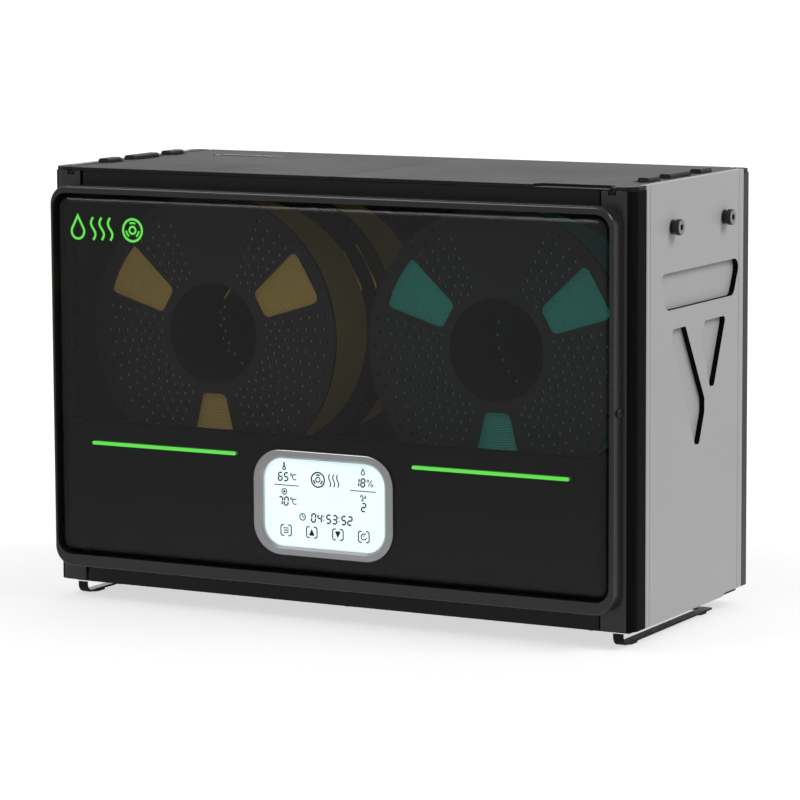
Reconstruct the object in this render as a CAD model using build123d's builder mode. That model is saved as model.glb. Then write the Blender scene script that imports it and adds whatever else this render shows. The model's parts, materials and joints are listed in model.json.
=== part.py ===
from build123d import *
import os
from math import cos, radians, sin, tan

# A heated drying box for four filament spools, standing on the floor plane Z = 0.
# The origin is under the middle of the box. +X is to the right, +Y to the rear, +Z up.

# ---------------------------------------------------------------- driving sizes, mm

# Spools and the room around them
spool_diameter = 200.0
spool_width = 68.0
spool_side_gap = 1.5
spool_centre_gap = 27.0
spool_front_gap = 28.0
spool_row_gap = 19.0
spool_rear_gap = 6.5
spool_top_gap = 18.0
spool_floor_gap = 14.0

# Walls
sheet = 1.5
side_panel_wall = 5.5
insulation_gap = 8.0
rear_wall_gap = 1.5
rear_recess = 2.0
post_wall = 2.0
fit_gap = 0.2

# Feet
foot_height = 12.5
pan_drop = 3.0
strap_width = 7.5
strap_thickness = 1.5
strap_bend = 6.0
strap_length = 150.0
strap_front_setback = 8.0
strap_edge_distance = 15.0
cross_leg_x = 100.0
pad_length = 14.0
pad_thickness = 1.0

# Electronics compartment under the chamber floor
compartment_height = 68.0

# Front
frame_proud = 15.6
frame_rim = 2.8
frame_side_setback = 7.6
frame_bottom = 13.0
frame_top_setback = 12.0
frame_bottom_rim = 8.8
frame_top_rim = 5.2
frame_corner = 14.0
frame_edge_round = 2.2
pane_recess = 1.0
pane_wall = 2.5
pane_edge_round = 8.0
pane_corner = 10.8
shell_wall = 3.0
shell_return = 12.0
shell_edge_round = 4.0
shell_groove = 0.4
post_width = 24.0
post_depth = 20.5
post_round = 9.0
post_lip_depth = 13.0
rear_post_round = 5.0
rear_post_depth = 13.0
rear_post_lip_width = 18.0
window_sill = 118.0
window_head = 18.0
window_side = 14.0

# Display
display_width = 111.0
display_height = 74.5
display_corner = 22.0
display_rim = 7.1
display_rim_height = 6.1
display_z = 72.3
screen_recess = 3.4
screen_thickness = 3.0
strip_z = 104.0
strip_height = 2.5
strip_inner_x = 70.0
strip_end_setback = 40.5

# Side recesses and tube outlets
recess_depth = 4.0
handle_corner = 6.5
arm_corner = 2.8
outlet_bore = 4.2
outlet_neck = 7.4
outlet_disc = 11.0
outlet_disc_length = 4.0
outlet_neck_length = 3.0
outlet_height = 269.0

# Top frame, lids and hinges
lid_thickness = 2.5
lid_seam = 0.6
rail_height = 10.6
rail_width = 7.6
centre_bar_width = 10.0
hinge_setback = 16.0
hinge_bead_radius = 2.5
hinge_pin_radius = 1.0
hinge_pin_clearance = 0.05
knuckle_long = 34.0
knuckle_short = 18.0
knuckle_rise = 3.0
knuckle_boss_width = 8.5
knuckle_boss_inner = 2.6
knuckle_slot_inner = 6.6
knuckle_boss_round = 1.8
knuckle_pitch = 43.0
knuckle_gap = 0.4
leaf_reach = 7.0
liner_thickness = 6.0
seal_width = 2.5
pocket_length = 60.0
pocket_width = 14.0
pocket_depth = 1.7

# Spool rollers
roller_radius = 11.0
roller_angle = 35.0
roller_spool_gap = 0.3
journal_radius = 4.0
journal_clearance = 0.05
bush_wall = 2.0
bush_seat_gap = 0.02
cradle_thickness = 4.0
cradle_lobe = 4.5
cradle_base = 10.0
roller_end_gap = 1.0

# Spools
flange_thickness = 3.0
hub_bore = 72.0
hub_wall = 4.0
winding_diameter = 180.0
winding_gap = 0.3
flange_window_inner = 43.0
flange_window_outer = 90.0
flange_window_half_angle = 13.0
flange_window_corner = 5.0

# Fans, heaters and ducts
fan_size = 60.0
fan_depth = 15.0
fan_bore = 57.0
fan_hub = 24.0
fan_blades = 7
fan_tip_gap = 0.8
fan_pitch = 130.0
fan_row_y = 62.0
fan_lift = 22.0
duct_wall = 1.5
duct_gap = 0.2
heater_height = 16.0
heater_lift = 42.0
heater_fins = 14
fin_thickness = 1.0
air_slot = 3.0
air_slot_pitch = 7.0

# Boards, supply and mains inlet
board_thickness = 1.6
main_board_size = (120.0, 60.0)
supply_size = (110.0, 60.0, 34.0)
inlet_x = -160.0
switch_x = -196.0
mains_z = 35.0
inlet_flange = (50.0, 26.0)
inlet_body = (27.0, 20.0, 22.0)
inlet_cavity = (24.0, 16.0, 18.0)
inlet_pin_length = 11.0
inlet_pins = ((-7.0, -2.0), (7.0, -2.0), (0.0, 2.0))
inlet_pin_section = (2.0, 4.0)
switch_flange = (17.0, 23.0)
switch_body = (15.0, 20.8, 13.0)
rocker_width = 10.0
rocker_half_height = 8.0
rocker_tilt = 7.0
trunnion_radius = 1.2

# Screws
screw_radius = 1.5
screw_head_radius = 2.8
screw_head_height = 1.6
screw_length = 6.0
frame_screw_z = 150.0

# ---------------------------------------------------------------- reference places

spool_radius = spool_diameter / 2
chamber_half_width = spool_centre_gap / 2 + spool_diameter + spool_side_gap
half_width = chamber_half_width + sheet + insulation_gap + side_panel_wall
body_depth = (
    spool_front_gap + 2 * spool_width + spool_row_gap + spool_rear_gap
    + sheet + rear_wall_gap + sheet + rear_recess
)
body_height = compartment_height + spool_floor_gap + spool_diameter + spool_top_gap

front_y = (frame_proud - body_depth) / 2
rear_y = front_y + body_depth
base_z = foot_height
top_z = base_z + body_height
pan_z = base_z - pan_drop
floor_z = base_z + compartment_height
rear_panel_y = rear_y - rear_recess - sheet
rear_lining_y = rear_panel_y - rear_wall_gap - sheet
panel_inner_x = half_width - side_panel_wall
panel_front_y = front_y + post_depth
panel_rear_y = rear_y - rear_post_depth
shell_half_width = half_width - post_width - shell_groove
seat_z = top_z - lid_thickness - fit_gap

spool_x = spool_centre_gap / 2 + spool_radius
spool_z = floor_z + spool_floor_gap + spool_radius
front_row_y = front_y + spool_front_gap + spool_width / 2
rear_row_y = front_row_y + spool_width + spool_row_gap
hinge_x = half_width - hinge_setback
hinge_z = top_z - hinge_bead_radius
strip_edge_x = hinge_x + hinge_bead_radius + 0.3
fan_xs = (-fan_pitch, 0.0, fan_pitch)
fan_y = front_y + fan_row_y

os.makedirs("parts", exist_ok=True)


def save(piece, name):
    """Label a finished sub-part and write it as its own STEP file."""
    piece.part.label = name
    export_step(piece.part, f"parts/{name}.step")


def level(z):
    """Horizontal plane at height z, facing up."""
    return Plane.XY.offset(z)


def facing_front(y):
    """Upright plane across the box at y, facing the front. Its local y is up."""
    return Plane.XZ.offset(-y)


def facing_right(x):
    """Upright plane along the box at x, facing right. Its local x is to the rear."""
    return Plane.YZ.offset(x)


def mirrored(outline, side):
    """Points of a right-hand outline, put on the given side of the box."""
    return [(side * x, y) for x, y in outline]


# ---------------------------------------------------------------- base and feet

pan_half_width = panel_inner_x - fit_gap - post_wall - 0.3
pan_front_y = front_y + shell_return + 0.4
pan_rear_y = rear_panel_y - 0.3
pan_depth = pan_rear_y - pan_front_y
pan_y = (pan_front_y + pan_rear_y) / 2
pan_flange = 16.0
rear_screw_xs = (-205.0, -70.0, 70.0, 205.0)
low_screw_z = pan_z + 12.0
base_screw_spots = [(x, y) for x in (-190.0, 0.0, 190.0) for y in (pan_front_y + 8, pan_rear_y - 8)]

with BuildPart() as base_pan:
    with BuildSketch(level(pan_z)):
        with Locations((0, pan_y)):
            Rectangle(2 * pan_half_width, pan_depth)
    extrude(amount=sheet)
    with BuildSketch(level(pan_z + sheet)):
        with Locations((0, pan_y)):
            Rectangle(2 * pan_half_width, pan_depth)
            Rectangle(2 * (pan_half_width - sheet), pan_depth - 2 * sheet, mode=Mode.SUBTRACT)
    extrude(amount=pan_flange)
    with BuildSketch(level(pan_z)):
        for x in fan_xs:
            with Locations((x, fan_y)):
                with GridLocations(1, air_slot_pitch, 1, 7):
                    SlotOverall(fan_size - 14, air_slot)
        with Locations(*base_screw_spots):
            Circle(screw_radius + 0.1)
    extrude(amount=sheet, mode=Mode.SUBTRACT)
    with BuildSketch(facing_front(pan_rear_y)):
        with Locations(*[(x, low_screw_z) for x in rear_screw_xs]):
            Circle(screw_radius + 0.1)
    extrude(amount=2 * sheet, mode=Mode.SUBTRACT)
save(base_pan, "base_pan")

strap_x = half_width - strap_edge_distance
strap_front_y = front_y + strap_front_setback
strap_rear_y = strap_front_y + strap_length
strap_low_z = pad_thickness + strap_thickness / 2

with BuildPart() as runner_feet:
    for side in (-1, 1):
        with BuildLine(facing_right(side * strap_x)) as strap_line:
            FilletPolyline(
                (strap_front_y + strap_thickness, pan_z),
                (strap_front_y + strap_thickness, strap_low_z),
                (strap_rear_y, strap_low_z),
                radius=strap_bend,
            )
        with BuildSketch(Plane(strap_line.line @ 0, x_dir=(1, 0, 0), z_dir=strap_line.line % 0)):
            Rectangle(strap_width, strap_thickness)
        sweep(path=strap_line.line)
    with BuildSketch(level(pad_thickness)):
        with Locations((0, strap_rear_y - strap_width / 2)):
            Rectangle(2 * strap_x + strap_width, strap_width)
    extrude(amount=strap_thickness)
    with BuildSketch(level(pad_thickness)):
        with Locations(*[(x, strap_rear_y - strap_width / 2) for x in (-cross_leg_x, cross_leg_x)]):
            Rectangle(2 * strap_width, strap_thickness)
    extrude(amount=pan_z - pad_thickness)
save(runner_feet, "runner_feet")

pad_ys = (strap_front_y + strap_bend + pad_length, strap_rear_y - pad_length)
with BuildPart() as foot_pads:
    with BuildSketch(level(0)):
        for side in (-1, 1):
            with Locations(*[(side * strap_x, y) for y in pad_ys]):
                SlotOverall(pad_length, strap_width, rotation=90)
    extrude(amount=pad_thickness)
save(foot_pads, "foot_pads")

# ---------------------------------------------------------------- front of the case

shell_top = seat_z
window_top = top_z - window_head
window_bottom = base_z + window_sill
window_half_width = half_width - window_side

with BuildPart() as front_shell:
    with BuildSketch(level(base_z)):
        with Locations((0, front_y + shell_return / 2)):
            Rectangle(2 * shell_half_width, shell_return)
    extrude(amount=shell_top - base_z)
    front_edges = front_shell.edges().filter_by(Axis.Z).group_by(Axis.Y)[0]
    fillet(front_edges, radius=shell_edge_round)
    with BuildPart(mode=Mode.PRIVATE) as shell_hollow:
        with BuildSketch(level(base_z)):
            with Locations((0, front_y + shell_wall + shell_return / 2)):
                Rectangle(2 * (shell_half_width - shell_wall), shell_return)
        extrude(amount=shell_top - base_z)
        fillet(
            shell_hollow.edges().filter_by(Axis.Z).group_by(Axis.Y)[0],
            radius=shell_edge_round - shell_wall,
        )
    add(shell_hollow.part, mode=Mode.SUBTRACT)
    with BuildSketch(facing_front(front_y)):
        with Locations((0, (window_top + window_bottom) / 2)):
            Rectangle(2 * window_half_width, window_top - window_bottom)
    extrude(amount=-2 * shell_return, mode=Mode.SUBTRACT)
save(front_shell, "front_shell")

frame_low = base_z + frame_bottom
frame_high = top_z - frame_top_setback
frame_half_width = half_width - frame_side_setback
pane_low = frame_low + frame_bottom_rim
pane_high = frame_high - frame_top_rim
pane_half_width = frame_half_width - frame_rim
frame_mid_z = (frame_low + frame_high) / 2
pane_mid_z = (pane_low + pane_high) / 2
frame_screw_level = base_z + frame_screw_z

with BuildPart() as front_frame:
    with BuildSketch(facing_front(front_y)):
        with Locations((0, frame_mid_z)):
            RectangleRounded(2 * frame_half_width, frame_high - frame_low, frame_corner)
    extrude(amount=frame_proud)
    fillet(front_frame.faces().sort_by(Axis.Y)[0].edges(), radius=frame_edge_round)
    with BuildSketch(facing_front(front_y)):
        with Locations((0, pane_mid_z)):
            RectangleRounded(2 * pane_half_width, pane_high - pane_low, pane_corner)
    extrude(amount=frame_proud, mode=Mode.SUBTRACT)
    for side in (-1, 1):
        with BuildSketch(facing_right(side * frame_half_width)):
            with Locations((front_y - frame_proud / 2, frame_screw_level)):
                Circle(screw_radius + 0.1)
        extrude(amount=-side * (frame_rim - 0.8), mode=Mode.SUBTRACT)
save(front_frame, "front_frame")

pane_front_y = front_y - frame_proud + pane_recess
pane_depth = front_y - pane_front_y
strip_outer_x = half_width - strip_end_setback
strip_mid_x = (strip_inner_x + strip_outer_x) / 2
strip_length = strip_outer_x - strip_inner_x
display_level = base_z + display_z
strip_level = base_z + strip_z


def front_block(front, depth, width, low, high, corner, edge_round):
    """Block facing the front with round corners and a rolled front edge, as a separate solid."""
    with BuildPart(mode=Mode.PRIVATE) as block:
        with BuildSketch(facing_front(front)):
            with Locations((0, (low + high) / 2)):
                RectangleRounded(width, high - low, corner)
        extrude(amount=-depth)
        fillet(block.faces().sort_by(Axis.Y)[0].edges(), radius=edge_round)
    return block.part


pane_outside = front_block(
    pane_front_y, pane_depth, 2 * (pane_half_width - fit_gap),
    pane_low + fit_gap, pane_high - fit_gap, pane_corner - fit_gap, pane_edge_round,
)
pane_inside = front_block(
    pane_front_y + pane_wall, pane_depth, 2 * (pane_half_width - fit_gap - pane_wall),
    pane_low + fit_gap + pane_wall, pane_high - fit_gap - pane_wall,
    pane_corner - fit_gap - pane_wall, pane_edge_round - pane_wall,
)

with BuildPart() as front_window:
    add(pane_outside)
    add(pane_inside, mode=Mode.SUBTRACT)
    with BuildSketch(facing_front(pane_front_y)):
        with Locations((0, display_level)):
            RectangleRounded(
                display_width + 2 * fit_gap, display_height + 2 * fit_gap, display_corner + fit_gap
            )
        with Locations((-strip_mid_x, strip_level), (strip_mid_x, strip_level)):
            SlotOverall(strip_length + 2 * fit_gap, strip_height + 2 * fit_gap)
    extrude(amount=-pane_wall, mode=Mode.SUBTRACT)
save(front_window, "front_window")

backing_y = pane_front_y + pane_wall + fit_gap
backing_half_width = pane_half_width - fit_gap - pane_edge_round - 0.5
backing_low = pane_low + fit_gap + pane_edge_round + 0.5

with BuildPart() as lower_backing:
    with BuildSketch(facing_front(backing_y)) as backing_sketch:
        with Locations((0, (backing_low + window_bottom) / 2)):
            Rectangle(2 * backing_half_width, window_bottom - backing_low)
        fillet(backing_sketch.vertices().group_by(Axis.Z)[0], radius=pane_corner - pane_edge_round)
        with Locations((0, display_level)):
            RectangleRounded(
                display_width + 2 * fit_gap, display_height + 2 * fit_gap, display_corner + fit_gap,
                mode=Mode.SUBTRACT,
            )
        with Locations((-strip_mid_x, strip_level), (strip_mid_x, strip_level)):
            SlotOverall(strip_length + 2 * fit_gap, strip_height + 2 * fit_gap, mode=Mode.SUBTRACT)
    extrude(amount=-sheet)
save(lower_backing, "lower_backing")

with BuildPart() as light_strips:
    with BuildSketch(facing_front(pane_front_y)):
        with Locations((-strip_mid_x, strip_level), (strip_mid_x, strip_level)):
            SlotOverall(strip_length, strip_height)
    extrude(amount=-(pane_wall + fit_gap + sheet))
save(light_strips, "light_strips")

display_front_y = front_y - frame_proud
display_depth = 8.0
screen_width = display_width - 2 * display_rim
screen_height = display_height - 2 * display_rim_height
screen_corner = display_corner - (display_rim + display_rim_height) / 2

with BuildPart() as display_bezel:
    with BuildSketch(facing_front(display_front_y)):
        with Locations((0, display_level)):
            RectangleRounded(display_width, display_height, display_corner)
    extrude(amount=-display_depth)
    fillet(display_bezel.faces().sort_by(Axis.Y)[0].edges(), radius=1.0)
    with BuildSketch(facing_front(display_front_y)):
        with Locations((0, display_level)):
            RectangleRounded(screen_width, screen_height, screen_corner)
    extrude(amount=-display_depth, mode=Mode.SUBTRACT)
    chamfer(
        display_bezel.faces().sort_by(Axis.Y)[0].inner_wires().edges(), length=1.6, length2=1.6
    )
save(display_bezel, "display_bezel")

with BuildPart() as display_screen:
    with BuildSketch(facing_front(display_front_y + screen_recess)):
        with Locations((0, display_level)):
            RectangleRounded(screen_width - fit_gap, screen_height - fit_gap, screen_corner - fit_gap / 2)
    extrude(amount=-screen_thickness)
save(display_screen, "display_screen")

board_y = display_front_y + display_depth + fit_gap
with BuildPart() as display_board:
    with BuildSketch(facing_front(board_y)):
        with Locations((0, display_level)):
            RectangleRounded(display_width - 4, display_height - 4, 6.0)
    extrude(amount=-board_thickness)
    with BuildSketch(facing_front(board_y + board_thickness)):
        with Locations((-30, display_level), (8, display_level)):
            Rectangle(16, 16)
        with Locations((34, display_level)):
            Rectangle(8, 30)
    extrude(amount=-3.0)
save(display_board, "display_board")

# ---------------------------------------------------------------- corner posts

lip_x = panel_inner_x - fit_gap
front_post_outline = [
    (half_width - post_width, front_y),
    (half_width, front_y),
    (half_width, panel_front_y),
    (lip_x, panel_front_y),
    (lip_x, panel_front_y + post_lip_depth),
    (lip_x - post_wall, panel_front_y + post_lip_depth),
    (lip_x - post_wall, panel_front_y - post_wall),
    (half_width - post_wall, panel_front_y - post_wall),
    (half_width - post_wall, front_y + post_wall),
    (half_width - post_width, front_y + post_wall),
]
bead_slot_inner = hinge_x - hinge_bead_radius - 0.3
bead_slot_low = hinge_z - hinge_bead_radius - 0.3

with BuildPart() as front_posts:
    for side in (-1, 1):
        with BuildSketch(level(base_z)) as post_sketch:
            with BuildLine():
                Polyline(mirrored(front_post_outline, side), close=True)
            make_face()
            outer_spot = (side * half_width, front_y, base_z)
            inner_spot = (side * (half_width - post_wall), front_y + post_wall, base_z)
            fillet(post_sketch.vertices().sort_by_distance(outer_spot)[0], radius=post_round)
            fillet(post_sketch.vertices().sort_by_distance(inner_spot)[0], radius=post_round - post_wall)
        extrude(amount=seat_z - base_z)
    for side in (-1, 1):
        with BuildSketch(level(bead_slot_low)):
            with Locations((side * (bead_slot_inner + strip_edge_x) / 2, front_y + 10)):
                Rectangle(strip_edge_x - bead_slot_inner, 60)
        extrude(amount=20, mode=Mode.SUBTRACT)
    with BuildSketch(facing_front(front_y)):
        with Locations((0, (window_top + window_bottom) / 2)):
            Rectangle(2 * window_half_width, window_top - window_bottom)
    extrude(amount=-(post_wall + 1), mode=Mode.SUBTRACT)
save(front_posts, "front_posts")

rear_post_lip = half_width - rear_post_lip_width
rear_post_outline = [
    (half_width, panel_rear_y),
    (half_width, rear_y),
    (rear_post_lip, rear_y),
    (rear_post_lip, rear_y - rear_recess),
    (half_width - post_wall, rear_y - rear_recess),
    (half_width - post_wall, panel_rear_y),
]
with BuildPart() as rear_posts:
    for side in (-1, 1):
        with BuildSketch(level(base_z + 2)) as post_sketch:
            with BuildLine():
                Polyline(mirrored(rear_post_outline, side), close=True)
            make_face()
            outer = post_sketch.vertices().sort_by_distance((side * half_width, rear_y, base_z))[0]
            fillet(outer, radius=rear_post_round)
            inner_spot = (side * (half_width - post_wall), rear_y - rear_recess, base_z)
            inner = post_sketch.vertices().sort_by_distance(inner_spot)[0]
            fillet(inner, radius=rear_post_round - post_wall)
        extrude(amount=seat_z - base_z - 2)
    for side in (-1, 1):
        with BuildSketch(level(bead_slot_low)):
            with Locations((side * (bead_slot_inner + strip_edge_x) / 2, rear_y)):
                Rectangle(strip_edge_x - bead_slot_inner, 10)
        extrude(amount=20, mode=Mode.SUBTRACT)
save(rear_posts, "rear_posts")

# ---------------------------------------------------------------- side panels

outlet_ys = (front_row_y, rear_row_y)
outlet_level = base_z + outlet_height
handle_outline = [(40.0, 238.0), (178.0, 238.0), (166.0, 212.5), (53.0, 212.5)]
left_arm_outline = [
    (63.0, 199.0),
    (84.5, 199.0),
    (117.0, 145.5),
    (117.0, 136.0),
    (108.0, 114.5),
    (101.0, 115.0),
    (63.0, 190.0),
]
right_arm_outline = [(117.0, 199.5), (153.0, 199.5), (133.0, 152.5), (126.0, 152.5), (112.0, 185.0)]
reliefs = [
    (handle_outline, handle_corner),
    (left_arm_outline, arm_corner),
    (right_arm_outline, arm_corner),
]
panel_step_y = front_y + 151.0


def side_panel(side, name):
    """One moulded side panel with its hand recess and pressed relief."""
    outer_x = side * half_width
    with BuildPart() as panel:
        with BuildSketch(facing_right(outer_x)):
            with BuildLine():
                Polyline(
                    (panel_front_y, base_z), (panel_step_y, base_z), (panel_step_y + 3, base_z + 2),
                    (panel_rear_y, base_z + 2), (panel_rear_y, top_z), (panel_front_y, top_z), close=True,
                )
            make_face()
        extrude(amount=-side * side_panel_wall)
        outer_face = panel.faces().filter_by(Axis.X).sort_by(Axis.X)[0 if side < 0 else -1]
        fillet(outer_face.edges().filter_by(Axis.Z).sort_by(Axis.Y)[0], radius=3.0)
        for outline, corner in reliefs:
            with BuildSketch(facing_right(outer_x)) as relief:
                with BuildLine():
                    Polyline([(front_y + y, base_z + z) for y, z in outline], close=True)
                make_face()
                fillet(relief.vertices(), radius=corner)
            extrude(amount=-side * recess_depth, mode=Mode.SUBTRACT)
        with BuildSketch(facing_right(outer_x)):
            with Locations(*[(y, outlet_level) for y in outlet_ys]):
                Circle(outlet_neck / 2 + fit_gap)
        extrude(amount=-side * side_panel_wall, mode=Mode.SUBTRACT)
    save(panel, name)


side_panel(-1, "left_side_panel")
side_panel(1, "right_side_panel")

# ---------------------------------------------------------------- top frame and hinges

rail_low = seat_z + fit_gap - hinge_bead_radius - 0.4 - rail_height
rail_top = rail_low + rail_height
high_screw_z = (rail_low + rail_top) / 2
rail_front_y = front_y + shell_return + 0.4
rail_rear_y = rear_lining_y + sheet + rear_wall_gap - fit_gap
opening_front_y = rail_front_y + rail_width
opening_rear_y = rail_rear_y - rail_width
opening_outer_x = chamber_half_width - 0.5
rail_outer_x = panel_inner_x - fit_gap
knuckle_mid_y = (front_y + rear_y) / 2
knuckles = [
    (knuckle_mid_y - knuckle_pitch, knuckle_short),
    (knuckle_mid_y, knuckle_long),
    (knuckle_mid_y + knuckle_pitch, knuckle_short),
]
cap_inset = 0.4
cap_outline = [
    (strip_edge_x, front_y + cap_inset),
    (half_width - cap_inset - post_round, front_y + cap_inset),
    (half_width - cap_inset - post_round * 0.3, front_y + cap_inset + post_round * 0.3),
    (half_width - cap_inset, front_y + cap_inset + post_round),
    (half_width - cap_inset, panel_front_y - fit_gap),
    (rail_outer_x, panel_front_y - fit_gap),
    (rail_outer_x, panel_rear_y + fit_gap),
    (half_width - cap_inset, panel_rear_y + fit_gap),
    (half_width - cap_inset, rear_y - rear_post_round),
    (half_width - rear_post_round, rear_y - cap_inset),
    (strip_edge_x, rear_y - cap_inset),
]

rail_notch_y = panel_front_y + post_lip_depth + fit_gap
riser_front_y = rail_notch_y + 4 * fit_gap
knuckle_notch_depth = 10.0

with BuildPart() as top_frame:
    with BuildSketch(level(rail_low)):
        with Locations((0, (rail_front_y + rail_rear_y) / 2)):
            Rectangle(2 * rail_outer_x, rail_rear_y - rail_front_y)
        with Locations((0, (opening_front_y + opening_rear_y) / 2)):
            Rectangle(2 * opening_outer_x, opening_rear_y - opening_front_y, mode=Mode.SUBTRACT)
            Rectangle(centre_bar_width, opening_rear_y - opening_front_y)
        for side in (-1, 1):
            with Locations((side * (rail_outer_x + 5), rail_front_y)):
                Rectangle(2 * post_width, 2 * (rail_notch_y - rail_front_y), mode=Mode.SUBTRACT)
    extrude(amount=rail_height)
    with BuildSketch(level(rail_top)):
        for side in (-1, 1):
            width = rail_outer_x - strip_edge_x
            with Locations((side * (strip_edge_x + width / 2), (riser_front_y + rail_rear_y) / 2)):
                Rectangle(width, rail_rear_y - riser_front_y)
    extrude(amount=top_z - lid_thickness - rail_top)
    for side in (-1, 1):
        with BuildSketch(level(seat_z + fit_gap)):
            with BuildLine():
                Polyline(mirrored(cap_outline, side), close=True)
            make_face()
        extrude(amount=lid_thickness)
    for side in (-1, 1):
        for y, length in knuckles:
            with BuildSketch(level(hinge_z - 0.1)):
                with Locations((side * (strip_edge_x + leaf_reach / 2), y)):
                    Rectangle(leaf_reach + 2 * fit_gap, length + 2 * fit_gap)
            extrude(amount=knuckle_notch_depth, mode=Mode.SUBTRACT)
    with BuildSketch(facing_front(rail_rear_y)):
        with Locations(*[(x, high_screw_z) for x in rear_screw_xs]):
            Circle(screw_radius + 0.1)
    extrude(amount=screw_length, mode=Mode.SUBTRACT)
save(top_frame, "top_frame")

boss_x = hinge_x - knuckle_boss_inner + knuckle_boss_width / 2
boss_height = hinge_bead_radius + knuckle_rise

with BuildPart() as hinge_knuckles:
    for side in (-1, 1):
        for y, length in knuckles:
            with BuildSketch(facing_front(y + length / 2)):
                with Locations((side * hinge_x, hinge_z)):
                    Circle(hinge_bead_radius - 0.1)
                with Locations((side * (hinge_x + (leaf_reach + 2.8) / 2), hinge_z + hinge_bead_radius / 2)):
                    Rectangle(leaf_reach + 2.8, hinge_bead_radius)
                with Locations((side * boss_x, hinge_z + boss_height / 2)):
                    RectangleRounded(knuckle_boss_width, boss_height, knuckle_boss_round)
                with Locations((side * hinge_x, hinge_z)):
                    Circle(hinge_pin_radius + bush_seat_gap, mode=Mode.SUBTRACT)
            extrude(amount=length)
save(hinge_knuckles, "hinge_knuckles")

bead_front_y = front_y + 0.3
bead_rear_y = rear_y - 0.3
with BuildPart() as hinge_pins:
    with BuildSketch(facing_front(bead_rear_y - 1)):
        for side in (-1, 1):
            with Locations((side * hinge_x, hinge_z)):
                Circle(hinge_pin_radius)
    extrude(amount=bead_rear_y - bead_front_y - 2)
save(hinge_pins, "hinge_pins")


# ---------------------------------------------------------------- lids

liner_inner_x = centre_bar_width / 2 + 0.3 + seal_width
liner_outer_x = hinge_x - knuckle_slot_inner - fit_gap - seal_width
liner_front_y = opening_front_y + 0.4 + seal_width
liner_rear_y = opening_rear_y - 0.4 - seal_width
liner_x = (liner_inner_x + liner_outer_x) / 2
liner_y = (liner_front_y + liner_rear_y) / 2
pocket_spots = {
    1: (half_width - 46.0, front_y + pocket_width / 2 - 2.0),
    -1: (-half_width + 77.0, front_y + 147.0),
}


slot_width = knuckle_slot_inner + hinge_bead_radius + 1.0
slot_x = hinge_x - knuckle_slot_inner + slot_width / 2


def lid(side, name):
    """Lid plate with its rolled hinge edge, finger pocket and slots for the fixed knuckles."""
    with BuildPart() as plate:
        with BuildSketch(level(top_z - lid_thickness)):
            with Locations((side * (lid_seam / 2 + hinge_x) / 2, (bead_front_y + bead_rear_y) / 2)):
                Rectangle(hinge_x - lid_seam / 2, bead_rear_y - bead_front_y)
        extrude(amount=lid_thickness)
        with BuildSketch(facing_front(bead_rear_y)):
            with Locations((side * hinge_x, hinge_z)):
                Circle(hinge_bead_radius)
        extrude(amount=bead_rear_y - bead_front_y)
        with BuildSketch(level(top_z)):
            with Locations(pocket_spots[side]):
                SlotOverall(pocket_length, pocket_width)
        extrude(amount=-pocket_depth, mode=Mode.SUBTRACT)
        for y, length in knuckles:
            with BuildSketch(level(hinge_z - hinge_bead_radius - 1)):
                with Locations((side * slot_x, y)):
                    Rectangle(slot_width, length + 2 * knuckle_gap)
            extrude(amount=10, mode=Mode.SUBTRACT)
        with BuildSketch(facing_front(rear_y)):
            with Locations((side * hinge_x, hinge_z)):
                Circle(hinge_pin_radius + hinge_pin_clearance)
        extrude(amount=body_depth, mode=Mode.SUBTRACT)
    save(plate, name)


def lid_liner(side, name):
    """Insulating panel under a lid."""
    with BuildPart() as liner:
        with BuildSketch(level(top_z - lid_thickness)):
            with Locations((side * liner_x, liner_y)):
                RectangleRounded(liner_outer_x - liner_inner_x, liner_rear_y - liner_front_y, 3.0)
        extrude(amount=-liner_thickness)
        chamfer(liner.faces().sort_by(Axis.Z)[0].edges(), length=1.0)
    save(liner, name)


def lid_seal(side, name):
    """Rubber seal around a lid's liner."""
    with BuildPart() as seal:
        with BuildSketch(level(top_z - lid_thickness)):
            with Locations((side * liner_x, liner_y)):
                width = liner_outer_x - liner_inner_x
                depth = liner_rear_y - liner_front_y
                RectangleRounded(width + 2 * seal_width, depth + 2 * seal_width, 3.0 + seal_width)
                RectangleRounded(width, depth, 3.0, mode=Mode.SUBTRACT)
        extrude(amount=-seal_width)
    save(seal, name)


for side, word in ((-1, "left"), (1, "right")):
    lid(side, f"{word}_lid")
    lid_liner(side, f"{word}_lid_liner")
    lid_seal(side, f"{word}_lid_seal")

# ---------------------------------------------------------------- drying chamber

roller_reach = spool_radius + roller_radius + roller_spool_gap
roller_dx = roller_reach * sin(radians(roller_angle))
roller_z = spool_z - roller_reach * cos(radians(roller_angle))
shaft_xs = [side * spool_x + end * roller_dx for side in (-1, 1) for end in (-1, 1)]

front_cradle_y = front_row_y - spool_width / 2 - 5.0 - cradle_thickness
middle_cradle_y = (front_row_y + rear_row_y) / 2 - cradle_thickness
rear_cradle_y = rear_row_y + spool_width / 2 + 2.0
cradles = [
    (front_cradle_y, cradle_thickness),
    (middle_cradle_y, 2 * cradle_thickness),
    (rear_cradle_y, cradle_thickness),
]
bush_radius = journal_radius + journal_clearance + bush_wall

with BuildPart() as chamber_floor:
    with BuildSketch(level(floor_z - sheet)):
        with Locations((0, (rail_front_y + rear_lining_y) / 2)):
            Rectangle(2 * (chamber_half_width - 0.1), rear_lining_y - rail_front_y)
        for x in fan_xs:
            with Locations((x, fan_y)):
                with GridLocations(1, air_slot_pitch, 1, 7):
                    SlotOverall(fan_size - 14, air_slot, mode=Mode.SUBTRACT)
    extrude(amount=sheet)
save(chamber_floor, "chamber_floor")

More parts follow.
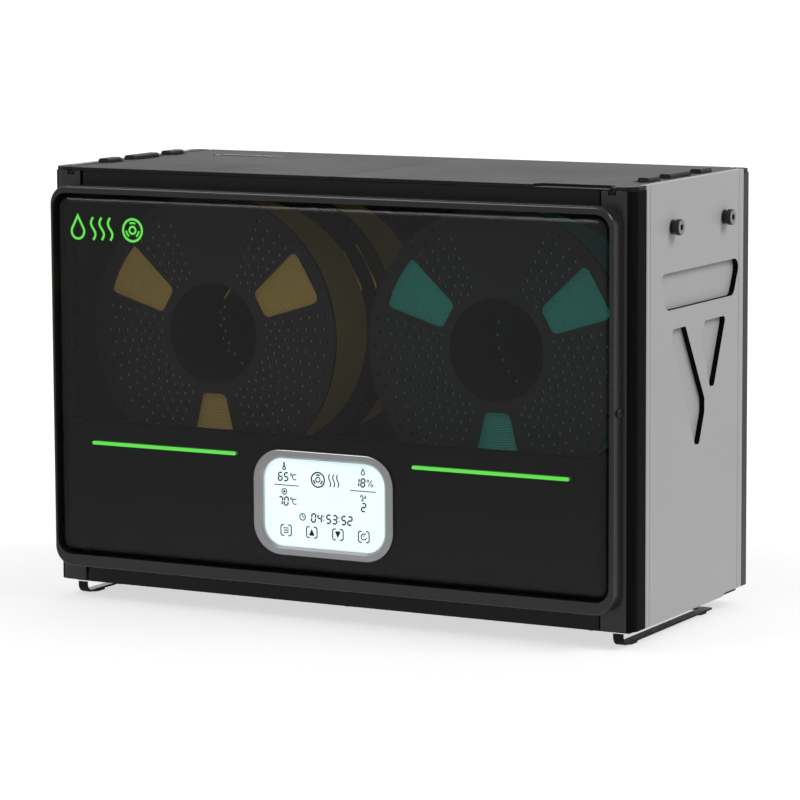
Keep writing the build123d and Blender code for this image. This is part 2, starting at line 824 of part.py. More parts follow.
with BuildPart() as chamber_linings:
    lining_height = rail_low - fit_gap - floor_z + sheet
    side_lining_end = rear_lining_y - fit_gap
    with BuildSketch(level(floor_z - sheet)):
        for side in (-1, 1):
            with Locations((side * (chamber_half_width + sheet / 2), (rail_front_y + side_lining_end) / 2)):
                Rectangle(sheet, side_lining_end - rail_front_y)
        with Locations((0, rear_lining_y + sheet / 2)):
            Rectangle(2 * (chamber_half_width + sheet), sheet)
    extrude(amount=lining_height)
    with BuildSketch(facing_right(-half_width)):
        with Locations(*[(y, outlet_level) for y in outlet_ys]):
            Circle(outlet_neck / 2 + fit_gap)
    extrude(amount=2 * half_width, mode=Mode.SUBTRACT)
save(chamber_linings, "chamber_linings")

cradle_half_width = spool_x + roller_dx + bush_radius + cradle_lobe
with BuildPart() as roller_cradles:
    for y, thickness in cradles:
        with BuildSketch(facing_front(y)):
            with Locations((0, floor_z + cradle_base / 2)):
                Rectangle(2 * cradle_half_width, cradle_base)
            for x in shaft_xs:
                with Locations((x, roller_z)):
                    Circle(bush_radius + cradle_lobe)
                with Locations((x, (roller_z + floor_z) / 2)):
                    Rectangle(2 * (bush_radius + cradle_lobe), roller_z - floor_z)
            for x in shaft_xs:
                with Locations((x, roller_z)):
                    Circle(bush_radius + bush_seat_gap, mode=Mode.SUBTRACT)
        extrude(amount=-thickness)
save(roller_cradles, "roller_cradles")

with BuildPart() as roller_bushes:
    for y, thickness in cradles:
        with BuildSketch(facing_front(y)):
            with Locations(*[(x, roller_z) for x in shaft_xs]):
                Circle(bush_radius)
                Circle(journal_radius + journal_clearance, mode=Mode.SUBTRACT)
        extrude(amount=-thickness)
save(roller_bushes, "roller_bushes")


def roller(x, front, rear, name):
    """Roller drum between two cradles, with a journal at each end."""
    drum_front = front + roller_end_gap
    drum_rear = rear - roller_end_gap
    journal = cradle_thickness - 0.2 + roller_end_gap
    with BuildPart() as body:
        with BuildSketch(facing_front(drum_front)):
            with Locations((x, roller_z)):
                Circle(roller_radius)
        extrude(amount=-(drum_rear - drum_front))
        chamfer(body.edges().filter_by(GeomType.CIRCLE), length=1.0)
        with BuildSketch(facing_front(drum_front - journal)):
            with Locations((x, roller_z)):
                Circle(journal_radius)
        extrude(amount=-(drum_rear - drum_front + 2 * journal))
    save(body, name)


rows = {
    "front": (front_row_y, front_cradle_y + cradle_thickness, middle_cradle_y),
    "rear": (rear_row_y, middle_cradle_y + 2 * cradle_thickness, rear_cradle_y),
}
for row, (row_y, drum_from, drum_to) in rows.items():
    for side, word in ((-1, "left"), (1, "right")):
        for end, place in ((-1, "a"), (1, "b")):
            roller(side * spool_x + end * roller_dx, drum_from, drum_to, f"{row}_{word}_roller_{place}")

# ---------------------------------------------------------------- spools

hub_radius = hub_bore / 2
winding_inner = hub_radius + hub_wall
window_tangent = tan(radians(flange_window_half_angle))
flange_window_outline = [
    (flange_window_inner, -flange_window_inner * window_tangent),
    (flange_window_outer, -flange_window_outer * window_tangent),
    (flange_window_outer, flange_window_outer * window_tangent),
    (flange_window_inner, flange_window_inner * window_tangent),
]


def reel(x, row_y, name):
    """Empty spool: a hub between two flanges, each with three round-cornered windows."""
    front = row_y - spool_width / 2
    with BuildPart() as body:
        with BuildSketch(facing_front(front)):
            with Locations((x, spool_z)):
                Circle(spool_radius)
        extrude(amount=-spool_width)
        with BuildSketch(facing_front(front + flange_thickness)):
            with Locations((x, spool_z)):
                Circle(spool_radius + 1)
                Circle(winding_inner, mode=Mode.SUBTRACT)
        extrude(amount=-(spool_width - 2 * flange_thickness), mode=Mode.SUBTRACT)
        with BuildSketch(facing_front(front)):
            with Locations((x, spool_z)):
                Circle(hub_radius)
        extrude(amount=-spool_width, mode=Mode.SUBTRACT)
        with BuildSketch(facing_front(front)) as windows:
            for angle in (30, 150, 270):
                with Locations(Location((x, spool_z, 0), angle)):
                    Polygon(*flange_window_outline, align=None)
            fillet(windows.vertices(), radius=flange_window_corner)
        extrude(amount=-spool_width, mode=Mode.SUBTRACT)
    save(body, name)


def winding(x, row_y, name):
    """Full winding of filament on a spool's hub."""
    length = spool_width - 2 * flange_thickness - 2 * winding_gap
    with BuildPart() as body:
        with BuildSketch(facing_front(row_y - length / 2)):
            with Locations((x, spool_z)):
                Circle(winding_diameter / 2)
                Circle(winding_inner + winding_gap, mode=Mode.SUBTRACT)
        extrude(amount=-length)
    save(body, name)


for row, (row_y, drum_from, drum_to) in rows.items():
    for side, word in ((-1, "left"), (1, "right")):
        reel(side * spool_x, row_y, f"{row}_{word}_spool")
        winding(side * spool_x, row_y, f"{row}_{word}_filament")

outlet_inner_x = chamber_half_width - 0.5
with BuildPart() as filament_outlets:
    for side in (-1, 1):
        reach = half_width + outlet_neck_length
        with BuildSketch(facing_right(side * outlet_inner_x)):
            with Locations(*[(y, outlet_level) for y in outlet_ys]):
                Circle(outlet_neck / 2)
        extrude(amount=side * (reach - outlet_inner_x))
        with BuildSketch(facing_right(side * half_width)):
            with Locations(*[(y, outlet_level) for y in outlet_ys]):
                Circle(outlet_neck / 2 + 1.4)
        extrude(amount=side * 1.0)
        with BuildSketch(facing_right(side * reach)):
            with Locations(*[(y, outlet_level) for y in outlet_ys]):
                Circle(outlet_disc / 2)
        extrude(amount=side * outlet_disc_length)
        with BuildSketch(facing_right(side * outlet_inner_x)):
            with Locations(*[(y, outlet_level) for y in outlet_ys]):
                Circle(outlet_bore / 2)
        extrude(amount=side * 2 * (reach - outlet_inner_x), mode=Mode.SUBTRACT)
    rims = filament_outlets.edges().filter_by(GeomType.CIRCLE).filter_by(
        lambda edge: abs(edge.radius - outlet_disc / 2) < 0.01
    )
    fillet(rims, radius=0.8)
save(filament_outlets, "filament_outlets")

with BuildPart() as humidity_sensor:
    with BuildSketch(facing_front(rear_lining_y)):
        with Locations((0, spool_z - 20)):
            RectangleRounded(spool_centre_gap - 8, 20, 2)
    extrude(amount=4.5)
    with BuildSketch(facing_front(rear_lining_y - 4.5)):
        with Locations((0, spool_z - 20)):
            with GridLocations(1, 4.0, 1, 4):
                SlotOverall(9, 1.6)
    extrude(amount=-3.0, mode=Mode.SUBTRACT)
save(humidity_sensor, "humidity_sensor")

# ---------------------------------------------------------------- air heating

fan_z = pan_z + sheet + fan_lift
heater_z = pan_z + sheet + heater_lift
duct_inside = fan_size + 2 * duct_gap
duct_outside = duct_inside + 2 * duct_wall
hub_plate = 2.0

with BuildPart() as air_ducts:
    with BuildSketch(level(pan_z + sheet)):
        with Locations(*[(x, fan_y) for x in fan_xs]):
            Rectangle(duct_outside, duct_outside)
            Rectangle(duct_inside, duct_inside, mode=Mode.SUBTRACT)
    extrude(amount=floor_z - sheet - pan_z - sheet)
save(air_ducts, "air_ducts")

with BuildPart() as fan_frames:
    with BuildSketch(level(fan_z)):
        with Locations(*[(x, fan_y) for x in fan_xs]):
            RectangleRounded(fan_size, fan_size, 4)
            Circle(fan_bore / 2, mode=Mode.SUBTRACT)
    extrude(amount=fan_depth)
    with BuildSketch(level(fan_z)):
        with Locations(*[(x, fan_y) for x in fan_xs]):
            Circle(fan_hub / 2)
            with PolarLocations(fan_bore / 4 + 1, 3):
                Rectangle(fan_bore / 2, 4)
    extrude(amount=hub_plate)
    with BuildSketch(level(fan_z)):
        with Locations(*[(x, fan_y) for x in fan_xs]):
            with GridLocations(fan_size - 9, fan_size - 9, 2, 2):
                Circle(2.0)
    extrude(amount=fan_depth, mode=Mode.SUBTRACT)
save(fan_frames, "fan_frames")


def fan_rotor(x, name):
    """Fan wheel: a round hub with pitched blades."""
    low = fan_z + hub_plate + 0.6
    height = fan_depth - hub_plate - 1.2
    blade_reach = fan_bore / 2 - fan_tip_gap - fan_hub / 2 + 2
    with BuildPart() as body:
        with BuildSketch(level(low)):
            with Locations((x, fan_y)):
                Circle(fan_hub / 2)
        extrude(amount=height)
        fillet(body.faces().sort_by(Axis.Z)[-1].edges(), radius=1.5)
        for blade in range(fan_blades):
            angle = blade * 360 / fan_blades
            radial = Vector(cos(radians(angle)), sin(radians(angle)), 0)
            root = Vector(x, fan_y, low + height / 2) + radial * (fan_hub / 2 - 2)
            with BuildSketch(Plane(root, x_dir=Vector(-radial.Y, radial.X, 0), z_dir=radial)):
                Rectangle(14, 1.4, rotation=35)
            extrude(amount=blade_reach)
    save(body, name)


for x, word in zip(fan_xs, ("left", "middle", "right")):
    fan_rotor(x, f"{word}_fan_rotor")

with BuildPart() as ptc_heaters:
    with BuildSketch(level(heater_z)):
        with Locations(*[(x, fan_y) for x in fan_xs]):
            Rectangle(fan_size - 1, fan_size - 1)
            with GridLocations((fan_size - 5) / (heater_fins - 1), 1, heater_fins, 1):
                gap = (fan_size - 5) / (heater_fins - 1) - fin_thickness
                for bank in (-1, 1):
                    with Locations((0, bank * (fan_size - 3) / 4)):
                        Rectangle(gap, (fan_size - 9) / 2 - 2, mode=Mode.SUBTRACT)
    extrude(amount=heater_height)
save(ptc_heaters, "ptc_heaters")

# ---------------------------------------------------------------- electronics

compartment_rear_y = rear_panel_y - 12.0
deck_z = pan_z + sheet
board_x = half_width - 110.0
board_mid_y = compartment_rear_y - main_board_size[1] / 2
standoff_height = 8.0

with BuildPart() as main_board:
    with BuildSketch(level(deck_z + standoff_height)):
        with Locations((board_x, board_mid_y)):
            Rectangle(*main_board_size)
    extrude(amount=board_thickness)
    with BuildSketch(level(deck_z)):
        with Locations((board_x, board_mid_y)):
            with GridLocations(main_board_size[0] - 10, main_board_size[1] - 10, 2, 2):
                Circle(3.0)
    extrude(amount=standoff_height)
    with BuildSketch(level(deck_z + standoff_height + board_thickness)):
        with Locations((board_x - 40, board_mid_y + 12), (board_x - 18, board_mid_y + 12)):
            Rectangle(16, 20)
        with Locations((board_x + 20, board_mid_y - 5)):
            Rectangle(14, 14)
    extrude(amount=12.0)
    with BuildSketch(level(deck_z + standoff_height + board_thickness)):
        with Locations((board_x + 45, board_mid_y + 14), (board_x + 45, board_mid_y - 14)):
            Circle(6.0)
        with Locations((board_x - 35, board_mid_y - 20)):
            Rectangle(34, 8)
    extrude(amount=9.0)
save(main_board, "main_board")

supply_x = -half_width / 2 + 45.0
with BuildPart() as power_supply:
    supply_low = deck_z
    supply_mid_y = compartment_rear_y - supply_size[1] / 2
    with BuildSketch(level(supply_low)):
        with Locations((supply_x, supply_mid_y)):
            RectangleRounded(supply_size[0], supply_size[1], 2.0)
    extrude(amount=supply_size[2])
    with BuildSketch(level(supply_low + supply_size[2])):
        with Locations((supply_x, supply_mid_y)):
            with GridLocations(7.0, 1, 12, 1):
                SlotOverall(supply_size[1] - 16, 3.0, rotation=90)
    extrude(amount=-1.5, mode=Mode.SUBTRACT)
save(power_supply, "power_supply")

mains_level = base_z + mains_z
with BuildPart() as power_inlet:
    with BuildSketch(facing_front(rear_panel_y + sheet)):
        with Locations((inlet_x, mains_level)):
            RectangleRounded(inlet_flange[0], inlet_flange[1], 4)
    extrude(amount=-rear_recess)
    with BuildSketch(facing_front(rear_panel_y + sheet)):
        with Locations((inlet_x, mains_level)):
            RectangleRounded(inlet_body[0], inlet_body[1], 2)
    extrude(amount=inlet_body[2])
    with BuildSketch(facing_front(rear_y)):
        with Locations((inlet_x, mains_level)):
            RectangleRounded(inlet_cavity[0], inlet_cavity[1], 2)
    extrude(amount=inlet_cavity[2], mode=Mode.SUBTRACT)
    with BuildSketch(facing_front(rear_y - inlet_cavity[2])):
        with Locations(*[(inlet_x + x, mains_level + z) for x, z in inlet_pins]):
            Rectangle(*inlet_pin_section)
    extrude(amount=-inlet_pin_length)
save(power_inlet, "power_inlet")

rocker_y = rear_y - 5.9
with BuildPart() as switch_housing:
    with BuildSketch(facing_front(rear_panel_y + sheet)):
        with Locations((switch_x, mains_level)):
            RectangleRounded(switch_flange[0], switch_flange[1], 1.5)
    extrude(amount=-1.2)
    with BuildSketch(facing_front(rear_panel_y + sheet)):
        with Locations((switch_x, mains_level)):
            Rectangle(switch_body[0], switch_body[1])
    extrude(amount=switch_body[2])
    with BuildSketch(facing_front(rear_y)):
        with Locations((switch_x, mains_level)):
            Rectangle(rocker_width + 0.8, 2 * rocker_half_height + 1.8)
    extrude(amount=switch_body[2], mode=Mode.SUBTRACT)
    with BuildSketch(facing_right(switch_x - switch_body[0] / 2)):
        with Locations((rocker_y, mains_level)):
            Circle(trunnion_radius + journal_clearance)
    extrude(amount=switch_body[0], mode=Mode.SUBTRACT)
save(switch_housing, "switch_housing")

rocker_outline = [
    (3.2, 0.0), (4.6, rocker_half_height), (1.2, rocker_half_height - 0.6), (-3.0, 3.0),
    (-3.0, -3.0), (1.2, 0.6 - rocker_half_height), (4.6, -rocker_half_height),
]
tilt_cos = cos(radians(rocker_tilt))
tilt_sin = sin(radians(rocker_tilt))
tilted_outline = [
    (rocker_y + y * tilt_cos + z * tilt_sin, mains_level + z * tilt_cos - y * tilt_sin)
    for y, z in rocker_outline
]
with BuildPart() as power_rocker:
    with BuildSketch(facing_right(switch_x - rocker_width / 2)):
        with BuildLine():
            Polyline(tilted_outline, close=True)
        make_face()
    extrude(amount=rocker_width)
    trunnion_length = switch_body[0] - 0.6
    with BuildSketch(facing_right(switch_x - trunnion_length / 2)):
        with Locations((rocker_y, mains_level)):
            Circle(trunnion_radius)
    extrude(amount=trunnion_length)
save(power_rocker, "power_rocker")

# ---------------------------------------------------------------- rear panel and screws

rear_screw_spots = [(x, z) for x in rear_screw_xs for z in (low_screw_z, high_screw_z)]

with BuildPart() as rear_panel:
    with BuildSketch(facing_front(rear_panel_y + sheet)):
        with Locations((0, (base_z + 2 + seat_z) / 2)):
            Rectangle(2 * (half_width - post_wall - 3.2), seat_z - base_z - 2)
        with Locations((inlet_x, mains_level)):
            RectangleRounded(inlet_body[0] + fit_gap, inlet_body[1] + fit_gap, 2, mode=Mode.SUBTRACT)
        with Locations((switch_x, mains_level)):
            Rectangle(switch_body[0] + fit_gap, switch_body[1] + fit_gap, mode=Mode.SUBTRACT)
        with Locations((board_x, mains_level)):
            with GridLocations(8.0, 1, 14, 1):
                SlotOverall(30, 3.2, rotation=90, mode=Mode.SUBTRACT)
        with Locations((supply_x, mains_level)):
            with GridLocations(8.0, 1, 10, 1):
                SlotOverall(30, 3.2, rotation=90, mode=Mode.SUBTRACT)
        with Locations(*rear_screw_spots):
            Circle(screw_radius + 0.1, mode=Mode.SUBTRACT)
        for side in (-1, 1):
            with Locations((side * (bead_slot_inner + strip_edge_x) / 2, seat_z)):
                Rectangle(strip_edge_x - bead_slot_inner, 2 * (seat_z - bead_slot_low), mode=Mode.SUBTRACT)
    extrude(amount=sheet)
save(rear_panel, "rear_panel")


def screw(seat, outward, length):
    """Round-headed screw whose head rests on the seat and points outward."""
    with BuildPart(mode=Mode.PRIVATE) as body:
        with BuildSketch(Plane(seat, z_dir=outward)):
            Circle(screw_head_radius)
        extrude(amount=screw_head_height)
        fillet(body.faces().sort_by(Axis(seat, outward))[-1].edges(), radius=0.8)
        with BuildSketch(Plane(seat, z_dir=outward)):
            Circle(screw_radius)
        extrude(amount=-length)
        with BuildSketch(Plane(Vector(seat) + Vector(outward) * screw_head_height, z_dir=outward)):
            RegularPolygon(1.3, 6)
        extrude(amount=-1.0, mode=Mode.SUBTRACT)
    return body.part


with BuildPart() as case_screws:
    for side in (-1, 1):
        spot = (side * frame_half_width, front_y - frame_proud / 2, frame_screw_level)
        add(screw(spot, (side, 0, 0), frame_rim - 1.0))
    for x, y in base_screw_spots:
        add(screw((x, y, pan_z), (0, 0, -1), screw_length))
    for x, z in rear_screw_spots:
        add(screw((x, rear_panel_y + sheet, z), (0, 1, 0), screw_length))
save(case_screws, "case_screws")
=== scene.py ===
import json
import math

import bmesh
import bpy
from mathutils import Matrix, Vector


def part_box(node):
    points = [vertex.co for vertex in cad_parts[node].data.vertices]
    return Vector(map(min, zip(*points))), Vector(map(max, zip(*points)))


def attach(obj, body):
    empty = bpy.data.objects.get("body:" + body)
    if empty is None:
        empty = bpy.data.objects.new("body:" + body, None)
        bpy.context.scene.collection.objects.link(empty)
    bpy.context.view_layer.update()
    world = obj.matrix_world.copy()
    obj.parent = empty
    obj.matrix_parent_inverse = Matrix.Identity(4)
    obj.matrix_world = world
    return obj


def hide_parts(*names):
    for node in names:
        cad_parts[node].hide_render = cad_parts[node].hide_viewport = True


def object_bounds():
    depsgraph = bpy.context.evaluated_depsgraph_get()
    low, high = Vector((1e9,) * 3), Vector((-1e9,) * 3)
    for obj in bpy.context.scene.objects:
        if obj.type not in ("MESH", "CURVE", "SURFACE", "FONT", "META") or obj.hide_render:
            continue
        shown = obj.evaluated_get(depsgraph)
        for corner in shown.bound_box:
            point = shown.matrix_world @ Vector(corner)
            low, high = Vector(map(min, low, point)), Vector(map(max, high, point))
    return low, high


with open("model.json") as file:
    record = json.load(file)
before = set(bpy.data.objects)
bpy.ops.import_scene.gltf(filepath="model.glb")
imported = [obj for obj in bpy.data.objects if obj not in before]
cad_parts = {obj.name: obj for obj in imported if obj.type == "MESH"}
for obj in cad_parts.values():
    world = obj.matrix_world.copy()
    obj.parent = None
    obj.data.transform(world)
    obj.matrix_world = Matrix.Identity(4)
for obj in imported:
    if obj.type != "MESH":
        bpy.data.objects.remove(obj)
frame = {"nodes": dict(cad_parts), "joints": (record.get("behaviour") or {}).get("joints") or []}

# Looks for the filament dryer box, built around its CAD frame. Everything is in metres.

cad_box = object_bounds()
MM = 0.001


# ---------------------------------------------------------------- places read from the frame

def low(node):
    """Lowest corner of a CAD node."""
    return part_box(node)[0]


def high(node):
    """Highest corner of a CAD node."""
    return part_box(node)[1]


def joint_spot(name):
    """Point that a joint turns about."""
    return Vector(next(j for j in frame["joints"] if j["name"] == name)["pos_m"])


SHELL_FRONT = low("front_posts").y
CASE_LOW = low("front_shell").z
WINDOW_FRONT = low("front_window").y
SCREEN_LOW, SCREEN_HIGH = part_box("display_screen")
FRONT_FOLD = 26.5 * MM
REAR_FOLD = 175.3 * MM
FLANGE_RADIUS = (high("front_left_spool").x - low("front_left_spool").x) / 2
FLANGE_THICKNESS = low("front_left_filament").y - low("front_left_spool").y - 0.3 * MM


# ---------------------------------------------------------------- mesh helpers

def finish_mesh(name, mesh, body, materials):
    """Put a finished mesh in the scene as a piece that rides on a body."""
    piece = bpy.data.objects.new(name, mesh)
    bpy.context.scene.collection.objects.link(piece)
    for material in materials:
        mesh.materials.append(material)
    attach(piece, body)
    return piece


def smooth_by_angle(mesh, degrees=35):
    """Smooth shading that keeps edges sharper than the angle."""
    limit = math.radians(degrees)
    shape = bmesh.new()
    shape.from_mesh(mesh)
    for face in shape.faces:
        face.smooth = True
    for edge in shape.edges:
        if len(edge.link_faces) == 2:
            edge.smooth = edge.calc_face_angle(0.0) < limit
    shape.to_mesh(mesh)
    shape.free()


def merged_copy(node):
    """Copy of a CAD node's mesh with its loose triangles joined."""
    shape = bmesh.new()
    shape.from_mesh(frame["nodes"][node].data)
    bmesh.ops.remove_doubles(shape, verts=shape.verts, dist=1e-6)
    bmesh.ops.dissolve_limit(
        shape, angle_limit=math.radians(0.6), verts=shape.verts, edges=shape.edges
    )
    mesh = bpy.data.meshes.new(node)
    shape.to_mesh(mesh)
    shape.free()
    return mesh


def dressed_copy(source, body, materials, pick=None, width=0.35 * MM):
    """The CAD piece with rounded edges, and each face's material picked by its place and normal."""
    mesh = merged_copy(source)
    if pick:
        for face in mesh.polygons:
            face.material_index = pick(face.center, face.normal)
    for material in materials:
        mesh.materials.append(material)
    piece = bpy.data.objects.new(source + "_finished", mesh)
    bpy.context.scene.collection.objects.link(piece)
    bevel = piece.modifiers.new("edge round", "BEVEL")
    bevel.width = width
    bevel.segments = 2
    bevel.limit_method = "ANGLE"
    bevel.angle_limit = math.radians(40)
    bevel.use_clamp_overlap = True
    baked = bpy.data.meshes.new_from_object(
        piece.evaluated_get(bpy.context.evaluated_depsgraph_get())
    )
    piece.modifiers.clear()
    piece.data = baked
    smooth_by_angle(baked, 20)
    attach(piece, body)
    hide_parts(source)
    return piece


# ---------------------------------------------------------------- shader groups

def group(name, inputs, outputs):
    """Empty shader node group with float inputs {name: default} and outputs {name: type}."""
    tree = bpy.data.node_groups.new(name, "ShaderNodeTree")
    for label, default in inputs.items():
        socket = tree.interface.new_socket(label, in_out="INPUT", socket_type="NodeSocketFloat")
        socket.default_value = default
    for label, kind in outputs.items():
        tree.interface.new_socket(label, in_out="OUTPUT", socket_type=kind)
    return tree, tree.nodes.new("NodeGroupInput"), tree.nodes.new("NodeGroupOutput")


def node(tree, kind, inputs=None, **settings):
    """Add a shader node, set its properties, and its sockets by name or number."""
    made = tree.nodes.new(kind)
    for key, value in settings.items():
        setattr(made, key, value)
    for key, value in (inputs or {}).items():
        made.inputs[key].default_value = value
    return made


def moulded_grain_group():
    """Fine spark-eroded grain of moulded plastic or powder coat, with faint large waviness."""
    tree, given, out = group(
        "moulded_grain",
        {"Grain Scale": 900.0, "Wave Scale": 14.0, "Wave Share": 0.15},
        {"Height": "NodeSocketFloat", "Variation": "NodeSocketFloat"},
    )
    place = node(tree, "ShaderNodeTexCoord")
    grain = node(tree, "ShaderNodeTexNoise", {"Detail": 2.0, "Roughness": 0.55})
    wave = node(tree, "ShaderNodeTexNoise", {"Detail": 3.0, "Roughness": 0.6})
    mix = node(tree, "ShaderNodeMix", data_type="FLOAT")
    link = tree.links.new
    link(place.outputs["Object"], grain.inputs["Vector"])
    link(place.outputs["Object"], wave.inputs["Vector"])
    link(given.outputs["Grain Scale"], grain.inputs["Scale"])
    link(given.outputs["Wave Scale"], wave.inputs["Scale"])
    link(given.outputs["Wave Share"], mix.inputs["Factor"])
    link(grain.outputs["Fac"], mix.inputs["A"])
    link(wave.outputs["Fac"], mix.inputs["B"])
    link(mix.outputs["Result"], out.inputs["Height"])
    link(wave.outputs["Fac"], out.inputs["Variation"])
    return tree


def handling_marks_group():
    """Faint smudges and fine dust that make a surface look handled."""
    tree, given, out = group(
        "handling_marks",
        {"Smudge Scale": 9.0, "Dust Scale": 220.0, "Dust Amount": 0.3},
        {"Smudge": "NodeSocketFloat", "Dust": "NodeSocketFloat"},
    )
    place = node(tree, "ShaderNodeTexCoord")
    smudge = node(tree, "ShaderNodeTexNoise", {"Detail": 5.0, "Roughness": 0.65, "Distortion": 0.4})
    dust = node(tree, "ShaderNodeTexNoise", {"Detail": 3.0, "Roughness": 0.8})
    spread = node(tree, "ShaderNodeMapRange", {"From Min": 0.4, "From Max": 0.75})
    specks = node(tree, "ShaderNodeMapRange", {"From Min": 0.62, "From Max": 0.8})
    share = node(tree, "ShaderNodeMath", operation="MULTIPLY")
    link = tree.links.new
    link(place.outputs["Object"], smudge.inputs["Vector"])
    link(place.outputs["Object"], dust.inputs["Vector"])
    link(given.outputs["Smudge Scale"], smudge.inputs["Scale"])
    link(given.outputs["Dust Scale"], dust.inputs["Scale"])
    link(smudge.outputs["Fac"], spread.inputs["Value"])
    link(dust.outputs["Fac"], specks.inputs["Value"])
    link(specks.outputs["Result"], share.inputs[0])
    link(given.outputs["Dust Amount"], share.inputs[1])
    link(spread.outputs["Result"], out.inputs["Smudge"])
    link(share.outputs["Value"], out.inputs["Dust"])
    return tree


def brushed_group():
    """Long fine scratches along X, as on brushed metal."""
    tree, given, out = group(
        "brushed_lines",
        {"Line Scale": 60.0, "Line Stretch": 40.0},
        {"Height": "NodeSocketFloat"},
    )
    place = node(tree, "ShaderNodeTexCoord")
    stretch = node(tree, "ShaderNodeCombineXYZ", {"X": 1.0})
    scaled = node(tree, "ShaderNodeVectorMath", operation="MULTIPLY")
    lines = node(tree, "ShaderNodeTexNoise", {"Detail": 4.0, "Roughness": 0.7})
    link = tree.links.new
    link(given.outputs["Line Stretch"], stretch.inputs["Y"])
    link(given.outputs["Line Stretch"], stretch.inputs["Z"])
    link(place.outputs["Object"], scaled.inputs[0])
    link(stretch.outputs["Vector"], scaled.inputs[1])
    link(scaled.outputs["Vector"], lines.inputs["Vector"])
    link(given.outputs["Line Scale"], lines.inputs["Scale"])
    link(lines.outputs["Fac"], out.inputs["Height"])
    return tree


def winding_group():
    """Turns of filament lying side by side around a spool, with slightly uneven laying."""
    tree, given, out = group(
        "filament_turns",
        {"Turn Pitch": 0.00175, "Centre X": 0.0, "Centre Z": 0.0},
        {"Height": "NodeSocketFloat", "Shade": "NodeSocketFloat", "Side": "NodeSocketFloat"},
    )
    place = node(tree, "ShaderNodeTexCoord")
    centre = node(tree, "ShaderNodeCombineXYZ")
    from_axis = node(tree, "ShaderNodeVectorMath", operation="SUBTRACT")
    flat = node(tree, "ShaderNodeVectorMath", {1: (1.0, 0.0, 1.0)}, operation="MULTIPLY")
    radius = node(tree, "ShaderNodeVectorMath", operation="LENGTH")
    split = node(tree, "ShaderNodeSeparateXYZ")
    wander = node(tree, "ShaderNodeTexNoise", {"Scale": 35.0, "Detail": 2.0})
    shift = node(tree, "ShaderNodeMath", {1: 0.0012}, operation="MULTIPLY")
    layers = node(tree, "ShaderNodeMath", operation="ADD")
    uneven = node(tree, "ShaderNodeMath", operation="ADD")
    turns = node(tree, "ShaderNodeMath", operation="DIVIDE")
    angle = node(tree, "ShaderNodeMath", {1: 2 * math.pi}, operation="MULTIPLY")
    crest = node(tree, "ShaderNodeMath", operation="COSINE")
    lifted = node(tree, "ShaderNodeMath", {1: 0.5, 2: 0.5}, operation="MULTIPLY_ADD")
    link = tree.links.new
    link(given.outputs["Centre X"], centre.inputs["X"])
    link(given.outputs["Centre Z"], centre.inputs["Z"])
    link(place.outputs["Object"], from_axis.inputs[0])
    link(centre.outputs["Vector"], from_axis.inputs[1])
    link(from_axis.outputs["Vector"], flat.inputs[0])
    link(flat.outputs["Vector"], radius.inputs[0])
    link(place.outputs["Object"], split.inputs["Vector"])
    link(place.outputs["Object"], wander.inputs["Vector"])
    link(radius.outputs["Value"], layers.inputs[0])
    link(split.outputs["Y"], layers.inputs[1])
    link(wander.outputs["Fac"], shift.inputs[0])
    link(layers.outputs["Value"], uneven.inputs[0])
    link(shift.outputs["Value"], uneven.inputs[1])
    link(uneven.outputs["Value"], turns.inputs[0])
    link(given.outputs["Turn Pitch"], turns.inputs[1])
    link(turns.outputs["Value"], angle.inputs[0])
    link(angle.outputs["Value"], crest.inputs[0])
    link(crest.outputs["Value"], lifted.inputs[0])
    link(lifted.outputs["Value"], out.inputs["Height"])
    link(wander.outputs["Fac"], out.inputs["Shade"])
    # Side: how squarely a face looks along the spool's axis, used to steer the painted glow.
    facing = node(tree, "ShaderNodeNewGeometry")
    facing_parts = node(tree, "ShaderNodeSeparateXYZ")
    flat_side = node(tree, "ShaderNodeMath", operation="ABSOLUTE")
    link(facing.outputs["True Normal"], facing_parts.inputs["Vector"])
    link(facing_parts.outputs["Y"], flat_side.inputs[0])
    link(flat_side.outputs["Value"], out.inputs["Side"])
    return tree


def fold_lines_group():
    """Mask of two upright lines pressed into a side panel, at two distances along the box; it places
    painted shade along the folds.
    """
    tree, given, out = group(
        "fold_lines",
        {"Front Line": 0.0, "Rear Line": 0.1, "Half Width": 0.0004},
        {"Mask": "NodeSocketFloat"},
    )
    place = node(tree, "ShaderNodeTexCoord")
    split = node(tree, "ShaderNodeSeparateXYZ")
    tree.links.new(place.outputs["Object"], split.inputs["Vector"])
    masks = []
    for label in ("Front Line", "Rear Line"):
        match = node(tree, "ShaderNodeMath", operation="COMPARE")
        tree.links.new(split.outputs["Y"], match.inputs[0])
        tree.links.new(given.outputs[label], match.inputs[1])
        tree.links.new(given.outputs["Half Width"], match.inputs[2])
        masks.append(match.outputs["Value"])
    either = node(tree, "ShaderNodeMath", operation="MAXIMUM")
    tree.links.new(masks[0], either.inputs[0])
    tree.links.new(masks[1], either.inputs[1])
    tree.links.new(either.outputs["Value"], out.inputs["Mask"])
    return tree


GRAIN = moulded_grain_group()
MARKS = handling_marks_group()
BRUSHED = brushed_group()
TURNS = winding_group()
FOLDS = fold_lines_group()


# ---------------------------------------------------------------- materials

def shader(name, **sockets):
    """New material with a Principled shader whose plain sockets are set by name."""
    material = bpy.data.materials.new(name)
    material.use_nodes = True
    tree = material.node_tree
    surface = tree.nodes["Principled BSDF"]
    for key, value in sockets.items():
        surface.inputs[key.replace("_", " ")].default_value = value
    return material, tree, surface


def place_group(tree, source, **values):
    """Put a node group in a material and set its inputs."""
    made = tree.nodes.new("ShaderNodeGroup")
    made.node_tree = source
    for key, value in values.items():
        made.inputs[key.replace("_", " ")].default_value = value
    return made


def between(tree, factor, a, b):
    """Number that runs from a to b with the factor."""
    mix = node(tree, "ShaderNodeMapRange", {"To Min": a, "To Max": b})
    tree.links.new(factor, mix.inputs["Value"])
    return mix.outputs["Result"]


